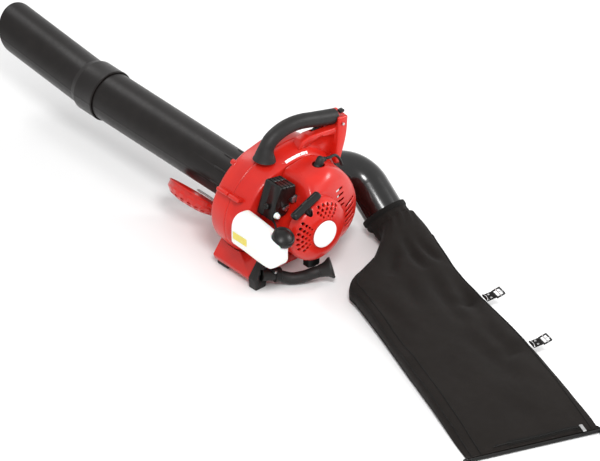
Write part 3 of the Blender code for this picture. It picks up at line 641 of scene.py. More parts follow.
def pan_screw(name, at, axis, radius=3.4, height=2.2):
    """A domed screw head with a cross slot."""
    axis = Vector(axis).normalized()
    dome = [
        (0, -0.5), (radius, -0.5), (radius, height * 0.35), (radius * 0.8, height * 0.8),
        (radius * 0.4, height), (0, height),
    ]
    head = lathe(name, dome, axis, at, 32)
    side, up = frame_of(axis)
    slots = []
    for turn in (0, math.pi / 2):
        along = side * math.cos(turn) + up * math.sin(turn)
        floor = Vector(at) + axis * height * 0.45
        slots.append(brick("slot", floor, along, axis.cross(along), axis, (radius * 0.62, 0.45), 0, 3))
    carve(head, slots)
    return head


# Fan housing and stand

def rounded(name, low, high, width, segments, turn=None):
    made = box(name, low, high, turn)
    soften(made, width, segments)
    return made


def spoke(degrees):
    """The direction square to the shaft at an angle from +X towards +Z."""
    angle = math.radians(degrees)
    return Vector((math.cos(angle), 0, math.sin(angle)))


def about_shaft(piece):
    """Turns one of the guard's pieces about the fan's shaft, to where the guard hangs."""
    turn = Matrix.Rotation(GUARD_TURN, 4, "Y")
    piece.data.transform(Matrix.Translation(AXIS * MM) @ turn @ Matrix.Translation(-AXIS * MM))
    return piece


def scroll(name, sections, inset=0.0):
    return loft(name, [polar_ring(SCROLL_RADII, y, scale, inset, front=OUTLET_X) for y, scale in sections])


def housing():
    tube_side = scroll("housing_tube_side", [
        (RIM_Y, 0.945),
        *eased([(RIM_Y - 1, 0.962), (RIM_Y - 4, 0.985), (RIM_Y - 10, 1.01), (22, 1.03), (3, 1.035)]),
        (1.6, 1.033), (0.3, 1.024),
    ])
    engine_side = scroll("housing_engine_side", [
        (-0.3, 1.024), (-1.6, 1.033),
        *eased([(-3, 1.035), (-12, 1.02), (-40, 0.93), (-48, 0.895)]),
        (BACK_Y, 0.87),
    ])
    cavity = [
        (RIM_Y - SCROLL_WALL, 0.96), (RIM_Y - 12, 1.0), (22, 1.02), (0, 1.025), (-12, 1.01), (-40, 0.92),
        (BACK_Y + SCROLL_WALL, 0.875),
    ]
    lean = Matrix.Rotation(math.radians(26), 3, "Y")
    ribs = [
        rounded("rib", (-124, low, 202), (-104, high, 211), 3.5, 4, lean)
        for low, high in ((1.6, 38), (-36, -1.6))
    ]
    lugs = [
        about_shaft(rounded("lug", (-92, 50, low), (-82, 67, high), 2, 3))
        for low, high in ((114, 123), (175, 184))
    ]
    ring = [(60, RIM_Y - 2), (64, RIM_Y - 2), (64, RIM_Y + 2), (62.5, RIM_Y + 3), (60, RIM_Y + 3)]
    collar = lathe("collar", ring, Y, count=128)
    boss = rod("boss", (-58, 45, 243), (-58, 57, 243), 6.5)
    carve(tube_side, [ribs[0], *lugs, collar, boss], "UNION")

    def inside():
        """What both halves lose: the fan's room and the way out of it."""
        outlet = rod("outlet", (120, 0, OUTLET_Z), (200, 0, OUTLET_Z), 35.4, 64)
        return scroll("space", cavity, SCROLL_WALL), outlet

    space, outlet = inside()
    carve(tube_side, [
        space,
        rod("intake", (0, 30, AXIS_Z), (0, 70, AXIS_Z), TUBE_R - TUBE_WALL - 2, 96),
        outlet,
        rod("boss_hole", (-58, 50, 243), (-58, 60, 243), 3.2),
        about_shaft(rod("pin_hole", GUARD_HINGE - Z * 50, GUARD_HINGE + Z * 50, 2.3)),
    ])
    carve(engine_side, [ribs[1]], "UNION")
    carve(engine_side, [
        *inside(),
        rod("shaft", (0, -70, AXIS_Z), (0, -30, AXIS_Z), 12),
        rod("vent", (-33, -40, 258), (-33, -60, 258), 4.5),
        rod("vent", (6, -40, 262), (6, -60, 262), 4.5),
    ])
    fit(tube_side, "red", "machine", "fan_housing_tube_side")
    fit(engine_side, "red", "machine", "fan_housing_engine_side")
    stripe = []
    section = ((-40, 0.93, -1), (-40, 0.93, 0.6), (-46, 0.904, 0.6), (-46, 0.904, -1))
    for degrees in range(56, 86, 2):
        radius = SCROLL_RADII[round(degrees / 360 * len(SCROLL_RADII))]
        stripe.append([AXIS + spoke(degrees) * (radius * scale + lift) + Y * y for y, scale, lift in section])
    fit(loft("housing_stripe", stripe), "white", "machine")
    screws = []
    for degrees in (12, 62, 128, 200, 262, 318):
        at = spoke(degrees) * (SCROLL_RADII[int(degrees / 360 * len(SCROLL_RADII))] * 0.94 - 12)
        screws.append(pan_screw("screw", AXIS + Vector((min(at.x, 150), RIM_Y + 0.2, at.z)), Y))
    fit(join_all("housing_screws", screws), "steel", "machine")


def stand():
    outline = ((-98, 58), (-121, 26), (-116, 12), (84, 12), (92, 26), (70, 60), (40, 90), (-60, 90))
    base = plate("base", outline, -71, RIM_Y - 3)
    soften(base, 2.5, 3)
    outside = scroll("outside", [
        (80, 1.0), (RIM_Y - 3, 1.0), (22, 1.035), (0, 1.04), (-12, 1.035), (-40, 0.95), (-90, 0.9),
    ], -1.2)
    carve(base, [outside, cover_room()])
    fit(base, "red", "machine", "base_stand")
    dress("rubber", ["foot_pad_centre", "foot_pad_rear"], 1.2)


# Tubes, guard and elbow

def tube(name, profile, bend=0.0, bend_from=0.0, count=160):
    """A tube along Y with a fine mould seam down each side, turned up by a small bend."""
    points = []
    for r, h in profile:
        centre = AXIS + Y * h
        lift = Z * max(0, h - bend_from) * math.tan(bend)
        for k, p in enumerate(circle(centre, Y, r, count)):
            raised = 0.6 if r > TUBE_R - 3 and k % (count // 2) == 0 else 0
            points.append(p + (p - centre).normalized() * raised + lift)
    last = len(points) - count
    faces = walls(len(profile), count)
    faces += [(last + c, last + (c + 1) % count, (c + 1) % count, c) for c in range(count)]
    return new_object(name, points, faces)


def tubes():
    r, wall = TUBE_R, TUBE_WALL
    spigot, end = r - wall - 2.4, TUBE_JOIN_Y + SOCKET_LENGTH - 12
    upper = tube("upper_tube", [
        (spigot, 48), (spigot, RIM_Y + 0.3), (r - 1.2, RIM_Y + 0.3), (r, RIM_Y + 1.5), (r, 240), (r, 400),
        (r, end), (r - wall, end), (r - wall, RIM_Y + 6), (spigot - wall, RIM_Y + 2), (spigot - wall, 48),
    ])
    ribs = []
    for degrees in (64, 104, 140, 176):
        steps = ((0.4, 4), (0.2, 40), (0.4, 78), (3, 84))
        path = [AXIS + spoke(degrees) * (r - sink) + Y * (RIM_Y + y) for sink, y in steps]
        ribs.append(sweep("rib", path, 2.5, 12))
    carve(upper, ribs, "UNION")
    fit(upper, "tube", "machine", "suction_tube_upper")
    start, flare = TUBE_JOIN_Y, TUBE_JOIN_Y + SOCKET_LENGTH
    lower_profile = [
        (58.4, start), (60.2, start + 0.3), (61.0, start + 1.5), (61.0, start + 5), (60.4, start + 6.5),
        (60.4, flare - 17), (60.0, flare - 15), (54.9, flare - 1), (54.5, flare + 1), (54.5, 740),
        (54.5, TUBE_END_Y + 26), (51.9, TUBE_END_Y + 26), (51.9, flare), (57.6, flare - 10),
        (57.6, start + 0.8),
    ]
    lower = tube("lower_tube", lower_profile, TUBE_BEND, flare)
    slope = Matrix.Rotation(math.radians(-22), 3, "X")
    carve(lower, [box("bevel", (-90, TUBE_END_Y, -30), (90, TUBE_END_Y + 160, 370), slope)])
    fit(lower, "tube", "lower_tube", "suction_tube_lower")


def guard():
    centre = GUARD_HINGE + Y * GUARD_REACH + X * 8
    dish = [
        (0.0, 30), (18, 29.7), (30, 29), (42, 27), (52, 24), (59, 19.5), (64, 13), (66.2, 6), (66.5, 0),
        (68.4, -0.3), (69, 0.4), (69, 2.6), (68.4, 3), (67.2, 3), (66.5, 15.4), (53.5, 26.4), (30.5, 31.8),
        (0.0, 32.6),
    ]
    bowl = lathe("guard", dish, -X, centre, 128)
    holes = [rod("hole", centre - X * 60, centre + X * 20, 6.6, 20)]
    for number, radius, hole in ((6, 20, 6.0), (12, 37, 6.0), (18, 52, 5.2)):
        for k in range(number):
            angle = 2 * math.pi * (k + 0.25) / number
            at = centre + Vector((0, math.cos(angle), math.sin(angle))) * radius
            holes.append(rod("hole", at - X * 60, at + X * 20, hole, 20))
    arm_end = GUARD_REACH - 63
    arm = rounded("arm", GUARD_HINGE + Vector((-2, 2, -22)), GUARD_HINGE + Vector((7, arm_end, 22)), 1.5, 2)
    carve(bowl, [join_all("holes", holes)])
    carve(bowl, [arm, rod("knuckle", GUARD_HINGE - Z * 24, GUARD_HINGE + Z * 24, 4.6)], "UNION")
    carve(bowl, [rod("bore", GUARD_HINGE - Z * 40, GUARD_HINGE + Z * 40, 2.3)])
    fit(about_shaft(bowl), "red", "guard", "intake_guard")
    stay_path = smooth_path(((-72, 132, 143), (-71, 160, 145), (-71, 192, 147)), 10)
    stay = sweep("guard_stay", stay_path, lambda t: 2.6 if 0.04 < t < 0.96 else 1.9, 24)
    fit(about_shaft(stay), "steel", "guard", "guard_stay_rod")
    dress("steel", ["guard_hinge_pin"], 0.5)


def elbow_path(steps=40):
    start = Vector((OUTLET_X + 0.3, 0, OUTLET_Z))
    bend = Vector((OUTLET_X + 7, 0, OUTLET_Z))
    centre = bend + ELBOW_DOWN * ELBOW_BEND_R
    path = [(start, X)]
    for i in range(steps + 1):
        a = math.pi / 2 * i / steps
        out = X * math.sin(a) - ELBOW_DOWN * math.cos(a)
        path.append((centre + out * ELBOW_BEND_R, X * math.cos(a) + ELBOW_DOWN * math.sin(a)))
    path.append((path[-1][0] + ELBOW_DOWN * ELBOW_TAIL, ELBOW_DOWN))
    return path


def bend_rings(path, wall=0.0, seam=0.0, count=96):
    """Rings square to the path, wider towards its end, with a seam raised along each side of the bend."""
    side = ELBOW_DOWN.cross(X).normalized()
    rings = []
    for i, (p, ahead) in enumerate(path):
        radius = ELBOW_R + (ELBOW_END_R - ELBOW_R) * max(0, i - 1) / (len(path) - 2) - wall
        out = ahead.cross(side)
        ring = []
        for k in range(count):
            angle = 2 * math.pi * k / count
            raised = seam if k % (count // 2) == count // 4 else 0
            ring.append(p + (side * math.cos(angle) + out * math.sin(angle)) * (radius + raised))
        rings.append(ring)
    return rings


def elbow():
    path = elbow_path()
    piece = shell("outlet_elbow", bend_rings(path, seam=1.1), bend_rings(path, ELBOW_WALL))
    fit(piece, "gloss", "machine", "elbow")
    band = [(39.6, 169), (41.4, 169), (42, 169.8), (42, 175.2), (41.4, 176), (39.6, 176)]
    clamp = lathe("outlet_clamp", band, X, (0, 0, OUTLET_Z), 128)
    carve(clamp, [rounded("ear", (169.5, -6, OUTLET_Z + 41), (175.5, 6, OUTLET_Z + 47), 1.2, 2)], "UNION")
    fit(clamp, "black", "machine", "elbow_clamp")
    dress("black", ["outlet_collar"], 0.8)


# Handles and controls

def grip_radius(t):
    return 17.5 + 9 * max(0, 1 - t * 5) ** 1.4


def lever_room():
    """The slot that the throttle lever swings in."""
    outline = ((158, 302), (136, 301), (106, 288), (106, 266), (150, 270))
    return plate("lever_room", outline, HANDLE_Y - 4.6, HANDLE_Y + 4.6)


def handles():
    route = [(x, HANDLE_Y, z) for x, z in HANDLE_PATH]
    path = smooth_path(route, 12)
    core_path = smooth_path([*route[:-1], (196, HANDLE_Y, 291)], 8)
    outside = [(30, 1.03), (0, 1.035), (-12, 1.02), (-40, 0.93), (BACK_Y, 0.88)]
    grip = sweep("handle_sleeve", path, grip_radius, 48)
    carve(grip, [sweep("bore", core_path, 8.6, 20), scroll("seat", outside, -0.3), lever_room()])
    fit(grip, "rubber", "machine", "handle_grip")
    dress("red", ["handle_core"], 0.4)

    top = [(176, -34, 304), (204, -34, 299), (206, 10, 300), (178, 10, 306)]
    middle = [(164, -44, 258), (190, -44, 256), (193, 2, 258), (166, 2, 260)]
    low = [(146, -56, 204), (160, -56, 202), (162, -40, 202), (150, -40, 204)]
    bracket = loft("bracket", between([[Vector(p) for p in ring] for ring in (top, middle, low)], 8), 50)
    soften(bracket, 3.5, 4, 40)
    web_outline = ((176, 280), (166, 206), (120, 206), (74, 230), (58, 268), (70, 285), (92, 290), (128, 286))
    web = plate("web", web_outline, -34, -6)
    soften(web, 4.0, 4)
    pocket = ((164, 266), (156, 216), (124, 216), (88, 240), (80, 268), (128, 276))
    carve(web, [plate("pocket", pocket, -60, -30.5)])
    carve(bracket, [web], "UNION")
    carve(bracket, [
        sweep("grip_room", path, lambda t: grip_radius(t) + 0.3, 48), sweep("core_room", core_path, 9, 20),
        scroll("seat", outside, -0.3),
        lever_room(),
        rod("screw_well", (184, -60, 288), (184, -38, 288), 5.2),
        box("switch_room", (188, -26, 304.4), (204, -10, 320)),
    ])
    fit(bracket, "red", "machine", "handle_bracket")
    dress("steel", ["bracket_screw"], 0.6)
    dress("black", ["throttle_trigger"], 1.2)
    dress("black", ["stop_switch"], 0.8)


def lower_handle():
    rings = []
    for y, grow in ((-71.4, 0), (-73, 1.2), (-84, -1), (-93, -4), (-95, -6)):
        outline = (
            (-98 - grow, 58 + grow), (-122, 26), (-120, 0), (-92, 0), (-78 + grow, 30),
            (-80 + grow, 52 + grow),
        )
        rings.append([Vector((x, y, max(z, 0))) for x, z in outline])
    boot = loft("boot", rings)
    soften(boot, 3.0, 3)
    bar_path = smooth_path(LOWER_BAR_PATH, 12)
    start, end = bar_path[0], bar_path[-1]
    head, ahead = (bar_path[1] - start).normalized(), (end - bar_path[-2]).normalized()
    carve(boot, [sweep("bar_room", [start - head * 6, *bar_path[:24]], 13.8, 48)])
    fit(boot, "rubber", "machine", "lower_handle_boot")
    bar = sweep("lower_bar", bar_path, 13.5, 48)
    fit(bar, "rubber", "machine", "lower_handle_bar")
    bell = [
        (0, 0.3), (14, 0.3), (14.6, 3), (15.4, 9), (18, 17), (22.4, 23.5), (24.3, 25.6), (24.5, 27),
        (24.5, 29.6), (23.6, 31), (14, 31), (13, 30), (0, 30),
    ]
    fit(lathe("lower_bell", bell, ahead, end, 96), "rubber", "machine", "lower_handle_end")
    band = [(13.9, 0), (16.4, 0), (17, 0.6), (17, 13.4), (16.4, 14), (13.9, 14)]
    clamp = lathe("bar_clamp", band, head, start + head * 30, 96)
    carve(clamp, [rounded("ear", (-82, -112, 30), (-70, -100, 46), 1.5, 3)], "UNION")
    carve(clamp, [sweep("bar_room", bar_path, 13.8, 48)])
    fit(clamp, "black", "machine", "lower_handle_clamp")
    fit(pan_screw("clamp_screw", (-76, -112, 39), -Y, 3.6), "steel", "machine")
    dress("black", ["lower_handle_bracket"], 1.5)


# Engine

def along_cylinder(distance):
    return AXIS + Y * CYLINDER_Y + CYLINDER_DIR * distance


def engine():
    outlet = along_cylinder(134)
    boot = [
        (0, 108.3), (8.0, 108.3), (8.6, 109), (10, 120), (10, 124), (9.3, 125.5), (9.3, 128), (9.8, 129.5),
        (9.5, 138), (8.4, 143), (5.5, 146.4), (0, 147),
    ]
    cap = lathe("plug_boot", boot, CYLINDER_DIR, AXIS + Y * CYLINDER_Y, 64)
    snout_path = [outlet + Vector((x, 0, x / 16)) for x in (0, 4, 8, 12, 16)]
    carve(cap, [sweep("snout", snout_path, 5.5, 32)], "UNION")
    fit(cap, "rubber", "machine", "spark_plug_boot")
    route = (
        outlet + Vector((18, 0, 1)), outlet + Vector((30, 2, -3)), (122, -84, 253), (146, -72, 226),
        (156, -68, 205),
    )
    lead_path = smooth_path(route, 24)
    lead = sweep("plug_lead", lead_path, lambda t: 3.2 + 0.3 * math.sin(t * 150), 20)
    fit(lead, "rubber", "machine", "ignition_lead")
    dress("steel", ["spark_plug", "muffler", "crankshaft"], 0.4)
    dress("cast", ["flywheel", "crankcase", "cylinder", "carburettor"], 0.4)
    dress("black", ["impeller", "ignition_coil", "air_filter_base"], 0.4)


def cover_rings(inset):
    stations = (
        (-54, 0.0), (-75, 0.0), (-98, 0.02), (-118, 0.1), (-134, 0.36), (-146, 0.76), (STARTER_Y, 1.0),
    )
    return [polar_ring(COVER_RADII, y, 1.0, inset, t) for y, t in eased(stations, 6)]


def cover_room():
    """The space that the engine cover fills, with a little room around it."""
    rings = cover_rings(-0.8)
    return loft("cover_room", [[p + Y * 2 for p in rings[0]], *rings])


def engine_cover():
    cover = shell("cover", cover_rings(0), cover_rings(3.5))
    tools = [rod("boot_room", along_cylinder(90), along_cylinder(150), 14, 48)]
    for k in range(4):
        z = 207 - k * 13
        tools.append(box("louvre", (72, -165, z - 2.4), (96, -128, z + 2.4)))
    lean = Matrix.Rotation(math.radians(30), 3, "X")
    for k in range(5):
        z = 158 - k * 14
        tools.append(box("grille", (100, -156, z - 2.8), (134, -122, z + 2.8), lean))
    tools.append(box("carburettor_room", (-50, -110, 196), (-4, -82, 217)))
    carve(cover, tools)
    soften(cover, 0.9, 2, 45)
    fit(cover, "red", "machine", "engine_cover")


def grip_end(t):
    """The bar's radius: full in the middle, rounded off at its ends."""
    edge = min(t, 1 - t) * GRIP_LENGTH
    return 9.3 * math.sqrt(max(0.0, 1 - max(0, 1 - edge / 7) ** 2)) if edge < 7 else 9.3


def starter():
    dome = [
        (77, -150.4), (77.4, -152), (77, -160), (75.6, -167), (73, -173), (67.4, -178.6), (60, -183),
        (48, -186.8), (34, -189), (33.4, -188.2), (0.0, -188.2), (0.0, -187), (33, -186), (57, -180),
        (70, -171), (74, -161), (74, -150.4),
    ]
    cover = lathe("starter_dome", dome, Y, AXIS, 160)
    vents = []
    for radius, hole in ((42, 3.0), (50, 3.6), (58.5, 4.0), (67, 4.0)):
        number = round(2 * math.pi * radius / 13)
        for k in range(number):
            degrees = 360 * (k + 0.5 * (radius in (50, 67))) / number
            if 48 < degrees < 104 or 138 < degrees < 206:
                at = AXIS + spoke(degrees) * radius
                vents.append(rod("vent", at - Y * 200, at - Y * 140, hole, 12))
    carve(cover, [join_all("vents", vents)])
    eye_from, eye_to = GRIP_CENTRE - PULL_DIR * 46, GRIP_CENTRE + PULL_DIR * 8
    carve(cover, [rod("rope_eye", eye_from, eye_to, 9.5)])
    soften(cover, 0.5, 2, 50)
    fit(cover, "red", "machine", "starter_cover")
    badge = [
        (0, -190.3), (32.5, -190.3), (32.5, -192), (32.1, -192.8), (31, -193.3), (26, -193.5), (0, -193.5),
    ]
    fit(lathe("badge", badge, Y, AXIS, 128), "white", "machine", "starter_badge")
    dress("black", ["starter_reel"], 0.5)

    stem = GRIP_CENTRE - PULL_DIR * STEM_LENGTH
    along = (GRIP_ALONG - PULL_DIR * GRIP_ALONG.dot(PULL_DIR)).normalized()
    half = GRIP_LENGTH / 2
    line = [GRIP_CENTRE + along * h for h in np.linspace(-half, half, 40)]
    bar = sweep("pull_bar", line, grip_end, 32, 1.15)
    soften(bar, 1.2, 3, 30)
    grooves = []
    for side in (-1, 1):
        for turn in (-1, 1):
            middle = GRIP_CENTRE + along * side * 24 + PULL_DIR * 9.5 * turn
            across = along.cross(PULL_DIR)
            grooves.append(brick("groove", middle, along, across, PULL_DIR, (14, 2.2), -1.6, 4))
    carve(bar, [join_all("grooves", grooves)])
    line = [GRIP_CENTRE - PULL_DIR * STEM_LENGTH * t for t in (0, 0.3, 0.45, 0.6, 0.8, 1)]
    post = sweep("post", line, lambda t: 9.2 - 3.4 * t, 32)
    carve(bar, [post], "UNION")
    fit(bar, "black", "grip", "starter_grip")
    rope_path = [GRIP_CENTRE - PULL_DIR * 40, stem - PULL_DIR * 7, stem - PULL_DIR * 0.3]
    rope = sweep("pull_rope", smooth_path(rope_path, 20), 2.0, 16)
    fit(rope, "webbing", "grip", "starter_rope")


# Fuel and air

def air_filter():
    rear_top, rear_low = Vector((-60, 0, 256)), Vector((-88, 0, 178))
    right_side = [(-15, 247), (-15, 219), (-35, 216), (-35, 188), (-46, 178)]
    outline = [(rear_top.x, rear_top.z), *right_side, (rear_low.x, rear_low.z)]
    lid = plate("filter_lid", outline, -111, -57)
    soften(lid, 5, 4)
    part_line = box("part_line", (-110, -80.6, 150), (10, -80.0, 300))
    keep = plate("keep", [((x + 48) * 0.96 - 48, (z - 217) * 0.97 + 217) for x, z in outline], -82, -79)
    carve(part_line, [keep])
    grooves = [box("groove", (x - 1.2, -122, 247), (x + 1.2, -50, 270)) for x in (-54, -44, -34, -24)]
    carve(lid, [*grooves, part_line, rod("primer_room", PRIMER_AT + Y * 4.4, PRIMER_AT - Y * 10, 8.0, 48)])
    fit(lid, "black", "machine", "air_filter_cover")
    ahead = (rear_low - rear_top).normalized()
    out = Vector((ahead.z, 0, -ahead.x)).normalized()
    at = (rear_top + rear_low) / 2 + Y * -86 + ahead * 14
    profile = [(0, 0.4), (7, 0.4), (7.2, 1.2), (7, 4), (5.6, 5.6), (4.6, 6), (0, 6)]
    knob = lathe("lid_knob", profile, out, at, 64)
    carve(knob, [brick("slot", at + out * 4.6, Y, out.cross(Y), out, (5, 0.8), 0, 4)])
    fit(knob, "black", "knob", "filter_knob")
    dress("steel", ["choke_lever"], 0.8)
    bulb = [
        (0, 0), (7.5, 0), (7.5, 1.6), (6.6, 2.6), (6.4, 5), (5.9, 7.4), (4.8, 9.4), (3.0, 10.8), (0, 11.2),
    ]
    fit(lathe("primer", bulb, -Y, PRIMER_AT, 64), "tank", "primer", "primer_bulb")


def fuel_tank():
    sections = (
        (-50.6, 122, 190, 4), (-54, 120.5, 193.5, 0.6), (-60, 120, 194, 0), (-100, 118, 190, 0),
        (-140, 114, 184, 0), (-172, 112, 178.5, 2.5), (-184, 117, 173, 6), (-188, 121, 169, 10),
    )
    outline = (
        (0.16, 0), (0.04, 0.07), (0, 0.17), (0, 0.6), (0.05, 0.8), (0.19, 0.94), (0.4, 1), (0.72, 0.98),
        (0.91, 0.9), (1, 0.76), (1, 0.4), (1, 0.14), (0.92, 0.04), (0.8, 0),
    )
    rings = []
    for y, low, high, inset in sections:
        rear, front = -156 + inset, -97 - inset
        ring = [Vector((rear + (front - rear) * u, y, low + (high - low) * v)) for u, v in outline]
        rings.append(closed_curve(ring, 6))
    tank = loft("tank", between(rings, 5), 50)
    soften(tank, 2.2, 4, 50)
    carve(tank, [rod("cap_seat", CAP_AT - CAP_AXIS * 6.3, CAP_AT + CAP_AXIS * 30, CAP_R + 1, 96)])
    fit(tank, "tank", "machine", "fuel_tank")
    cap = [
        (0, -6), (CAP_R - 1, -6), (CAP_R - 1, -5), (CAP_R - 0.2, -4), (CAP_R, 2), (CAP_R, 5),
        (CAP_R - 0.8, 7.6), (CAP_R - 2.8, 9.6), (CAP_R - 3.8, 9.8), (CAP_R - 5, 8.6), (CAP_R - 5.8, 8.2),
        (CAP_R - 7.6, 9.4), (12, 13.4), (6, 14.6), (0, 15.2),
    ]
    made = lathe("cap", cap, CAP_AXIS, CAP_AT, 128)
    side, up = frame_of(CAP_AXIS)
    notches = []
    for k in range(18):
        angle = 2 * math.pi * k / 18
        at = CAP_AT + (side * math.cos(angle) + up * math.sin(angle)) * (CAP_R + 1.2)
        notches.append(rod("notch", at - CAP_AXIS * 3, at + CAP_AXIS * 14, 1.9, 12))
    carve(made, [join_all("notches", notches)])
    fit(made, "black", "cap", "fuel_cap")
    dress("label", ["tank_label"], 0.3)
    dress("rubber", ["fuel_line"], 0.3)


# Collection bag

def even(ring, count):
    """The same ring with its points spaced evenly along it."""
    points = np.array([*ring, ring[0]])
    steps = np.linalg.norm(np.diff(points, axis=0), axis=1)
    along = np.concatenate([[0], np.cumsum(steps)])
    at = np.arange(count) / count * along[-1]
    return [Vector(p) for p in np.stack([np.interp(at, along, points[:, i]) for i in range(3)], 1)]


def bag_sections():
    """Cross-sections from the elbow to the hem, as centre, side, up and squareness."""
    end = elbow_path()[-1][0]
    up = ELBOW_DOWN.cross(X)
    sections = [
        (end - ELBOW_DOWN * 12, X * NECK_R, up * NECK_R, 2.0), (end, X * NECK_R, up * NECK_R, 2.0),
        (end + ELBOW_DOWN * 10, X * (NECK_R + 0.6), up * (NECK_R + 0.6), 2.0),
    ]
    for left, right, middle, tall, square in BAG_SLICES:
        left, right = Vector((*left, 0)), Vector((*right, 0))
        sections.append(((left + right) / 2 + Z * middle, (right - left) / 2, Z * tall, square))
    return sections


def bag_rings(count=144):
    rings = []
    for centre, side, up, square in bag_sections():
        ring = []
        for k in range(count * 2):
            a = math.pi * k / count
            c, s = math.cos(a), math.sin(a)
            reach = (abs(c) ** square + abs(s) ** square) ** (-1 / square)
            ring.append(centre + side * c * reach + up * s * reach)
        rings.append(even(ring, count))
    return between(rings, 9)


def crease(p, start, end, width, depth):
    """How far a fold from start to end presses a point down, softly across its width."""
    start, end = Vector((*start, 0)), Vector((*end, 0))
    flat = Vector((p.x, p.y, 0))
    along = end - start
    t = max(0.0, min(1.0, (flat - start).dot(along) / along.length_squared))
    off = (flat - start - along * t).length / width
    fade = math.sin(math.pi * min(1, max(0.04, t * 0.92 + 0.06)))
    return depth * math.exp(-off * off) * fade


def bag_folds(p, top):
    """The height that broad dents and folds take off, or put on, a point of the bag."""
    if not top:
        return 0.0
    drop = sum(crease(p, *fold) for fold in BAG_FOLDS)
    broad = noise.noise(Vector((p.x / 74, p.y / 118, 2.0))) * 3.4
    fine = noise.noise(Vector((p.x / 31, p.y / 52, 7.0))) * 1.4
    return broad + fine - drop


def simulate(piece, held):
    """Lets the cloth settle under its weight on the floor, and keeps the result."""
    corners = ((-900, -1500, -1), (900, -1500, -1), (900, 400, -1), (-900, 400, -1))
    ground = new_object("ground", corners, [(0, 1, 2, 3)])
    ground.modifiers.new("collide", "COLLISION")
    ground.collision.thickness_outer = 0.001
    group = piece.vertex_groups.new(name="held")
    for index, weight in held:
        group.add([index], weight, "REPLACE")
    rest = [v.co.copy() for v in piece.data.vertices]
    cloth = piece.modifiers.new("cloth", "CLOTH")
    settings = cloth.settings
    settings.quality = 5
    settings.mass = 0.06
    settings.tension_stiffness = settings.compression_stiffness = 12
    settings.shear_stiffness = 6
    settings.bending_stiffness = 0.35
    settings.use_pressure = True
    settings.uniform_pressure_force = 0.18
    settings.shrink_min = -0.025
    settings.vertex_group_mass = "held"
    settings.effector_weights.gravity = 0.35
    cloth.collision_settings.use_collision = True
    cloth.collision_settings.distance_min = 0.001
    scene = bpy.context.scene
    for number in range(1, BAG_FRAMES + 1):
        scene.frame_set(number)
    bake(piece, 60)
    scene.frame_set(1)
    limit = BAG_TRAVEL * MM
    for vertex, start in zip(piece.data.vertices, rest):
        moved = vertex.co - start
        if moved.length > limit:
            vertex.co = start + moved * (limit / moved.length)
        vertex.co.z = max(vertex.co.z, 0.0006)
    mesh = ground.data
    bpy.data.objects.remove(ground)
    bpy.data.meshes.remove(mesh)


def bag():
    rings = bag_rings()
    count, rows = len(rings[0]), len(rings)
    neck_rows = 3 * 9
    points = []
    for r, ring in enumerate(rings):
        share = min(1, max(0, (r - neck_rows) / 14)) * min(1, (rows - 1 - r) / 10)
        gather = min(1, r / 10) * max(0, 1 - abs(r - 24) / 22)
        middle = sum(ring, Vector()) / count
        for k, p in enumerate(ring):
            top = k < count // 2
            p = p + Z * bag_folds(p, top) * share
            p = p + (p - middle).normalized() * math.sin(2 * math.pi * k * 13 / count) * 1.3 * gather
            points.append(Vector((p.x, p.y, max(p.z, 0.6))))
    faces = walls(rows, count) + [tuple(range(len(points) - count, len(points)))]
    cloth = new_object("collection_bag", points, faces, 60)
    near = [(k, 1.0) for k in range(count * 19)]
    far = [(k, 1.0) for k in range(count * (rows - 2), count * rows)]
    simulate(cloth, near + far)
    surface = [v.co / MM for v in cloth.data.vertices]
    thick = cloth.modifiers.new("wall", "SOLIDIFY")
    thick.thickness = 1.2 * MM
    thick.offset = -1
    bake(cloth, 60)
    fit(cloth, "bag", "machine", "bag")
    trims(surface, rows, count)


def trims(surface, rows, count):
    """Seams that follow the settled cloth, the neck's band and the hem."""
    middle = sum(surface, Vector()) / len(surface)

    def line(column):
        found = []
        for r in range(46, rows - 2):
            p = surface[r * count + column % count]
            found.append(p + (p - Vector((middle.x, p.y, p.z))).normalized() * 0.6)
        return found

    left = count // 2
    seams = [sweep("seam", line(column), 1.5, 10) for column in (left - 9, left - 4, left + 3, 5, -3)]
    fit(join_all("bag_seams", seams), "webbing", "machine")
    end, ahead = elbow_path()[-1][0], ELBOW_DOWN
    profile = [(0.6, -9), (2.0, -9), (2.8, -8), (3.2, -3), (2.8, 2), (2.0, 3), (0.6, 3)]
    band = lathe("neck_band", [(NECK_R + r, h) for r, h in profile], ahead, end - ahead * 4)
    fit(band, "webbing", "machine", "bag_neck_band")
    hem(surface)
    for body, near, far, height in STRAPS:
        strap_fittings(body, near, far, height)
    dress("webbing", ["strap_tab_upper", "strap_tab_lower"], 0.5)
    dress("black", ["buckle_upper", "buckle_lower"], 0.7)


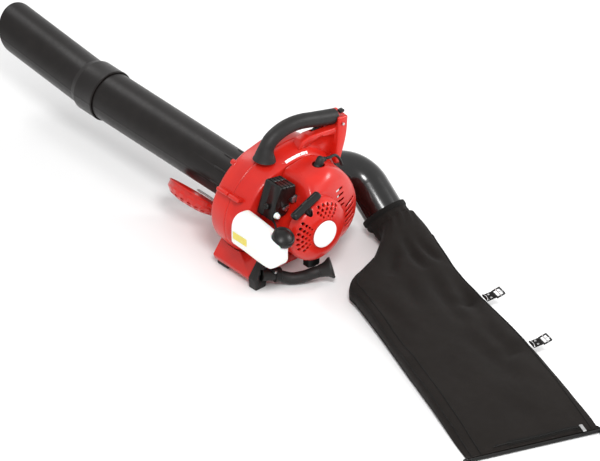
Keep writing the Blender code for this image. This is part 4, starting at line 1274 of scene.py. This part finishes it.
def hem(surface):
    """The hem's rod with a cap and a loop at each end, and the zip that the pull runs along."""
    beyond = BAG_ACROSS.cross(Z)
    top = [p for p in surface if p.y < -700 and p.z > 6]
    dress("black", ["bag_end_rod"], 0.8)
    ends = []
    for corner, way in ((BAG_FAR_LEFT, -1), (BAG_FAR_RIGHT, 1)):
        tip = corner + beyond * 4.6 + Z * 5.4 + BAG_ACROSS * way * 3
        cap = [(0, -5), (4.6, -5), (5.2, -4), (5.4, 2), (4.4, 4.4), (2.4, 5.6), (0, 6)]
        ends.append(lathe("cap", cap, BAG_ACROSS * way, tip, 40))
        inward = tip - BAG_ACROSS * way * 11
        loop = [inward + beyond * y + Z * z for y, z in ((2, 3), (7, 4), (11, 1), (10, -3), (5, -4.4))]
        ends.append(sweep("loop", smooth_path(loop, 5), 1.5, 12))
    fit(join_all("hem_ends", ends), "black", "machine")
    start = BAG_FAR_RIGHT - BAG_ACROSS * 41 - beyond * 16

    def on_cloth(x, y, lift):
        """A point of the zip, lifted off the nearest point of the bag's top."""
        at = start - BAG_ACROSS * x + beyond * y
        nearest = min(top, key=lambda p: (p - at).xy.length_squared)
        return Vector((at.x, at.y, nearest.z + lift))

    section = ((-6, -2), (6, -2), (6, 0.5), (-6, 0.5))
    rings = [[on_cloth(x, y, z) for y, z in section] for x in range(0, 215, 12)]
    strip = loft("tape", between(rings, 3))
    teeth = []
    for k in range(70):
        at = on_cloth(3 * k + 2, 0.7 if k % 2 else -0.7, 0)
        teeth.append(brick("tooth", at, BAG_ACROSS, beyond, Z, (1, 1.6), 0, 1.4))
    fit(strip, "webbing", "machine")
    fit(join_all("zip_teeth", teeth), "black", "machine")
    dress("steel", ["zip_pull"], 0.7)


def strap_fittings(body, near, far, height):
    """Rivets, a ring and a pin with its tongue that hold one buckle to its webbing tab."""
    near, far = Vector((*near, height)), Vector((*far, height))
    along = (far - near).normalized()
    out = Z.cross(along).normalized()
    middle = (near + far) / 2

    def at(x, y, z):
        return middle + along * x + out * y + Z * z

    rivets = [pan_screw("rivet", at(x, 14, 3.6), Z, 2.8, 1.6) for x in (-7, 7)]
    turns = np.linspace(0, math.pi, 16)
    arch = [at(13 * math.cos(a), 1 + 4 * math.sin(a), 3 + 2 * math.sin(a)) for a in turns]
    rivets.append(sweep("ring", arch, 1.2, 12))
    fit(join_all("rivets", rivets), "steel", "machine")
    pin = rod("pin", at(-15, 35, 7.6), at(15, 35, 7.6), 1.3, 16)
    curl = smooth_path([at(0, 35, 8.4), at(3, 40, 10), at(5, 45, 9.4), at(4, 48, 8.6)], 6)
    tongue = sweep("tongue", curl, 1.3, 12)
    fit(join_all("buckle_pin", [pin, tongue]), "steel", body)


housing()
stand()
tubes()
guard()
elbow()
handles()
lower_handle()
engine()
engine_cover()
starter()
air_filter()
fuel_tank()
bag()
camera()
studio()
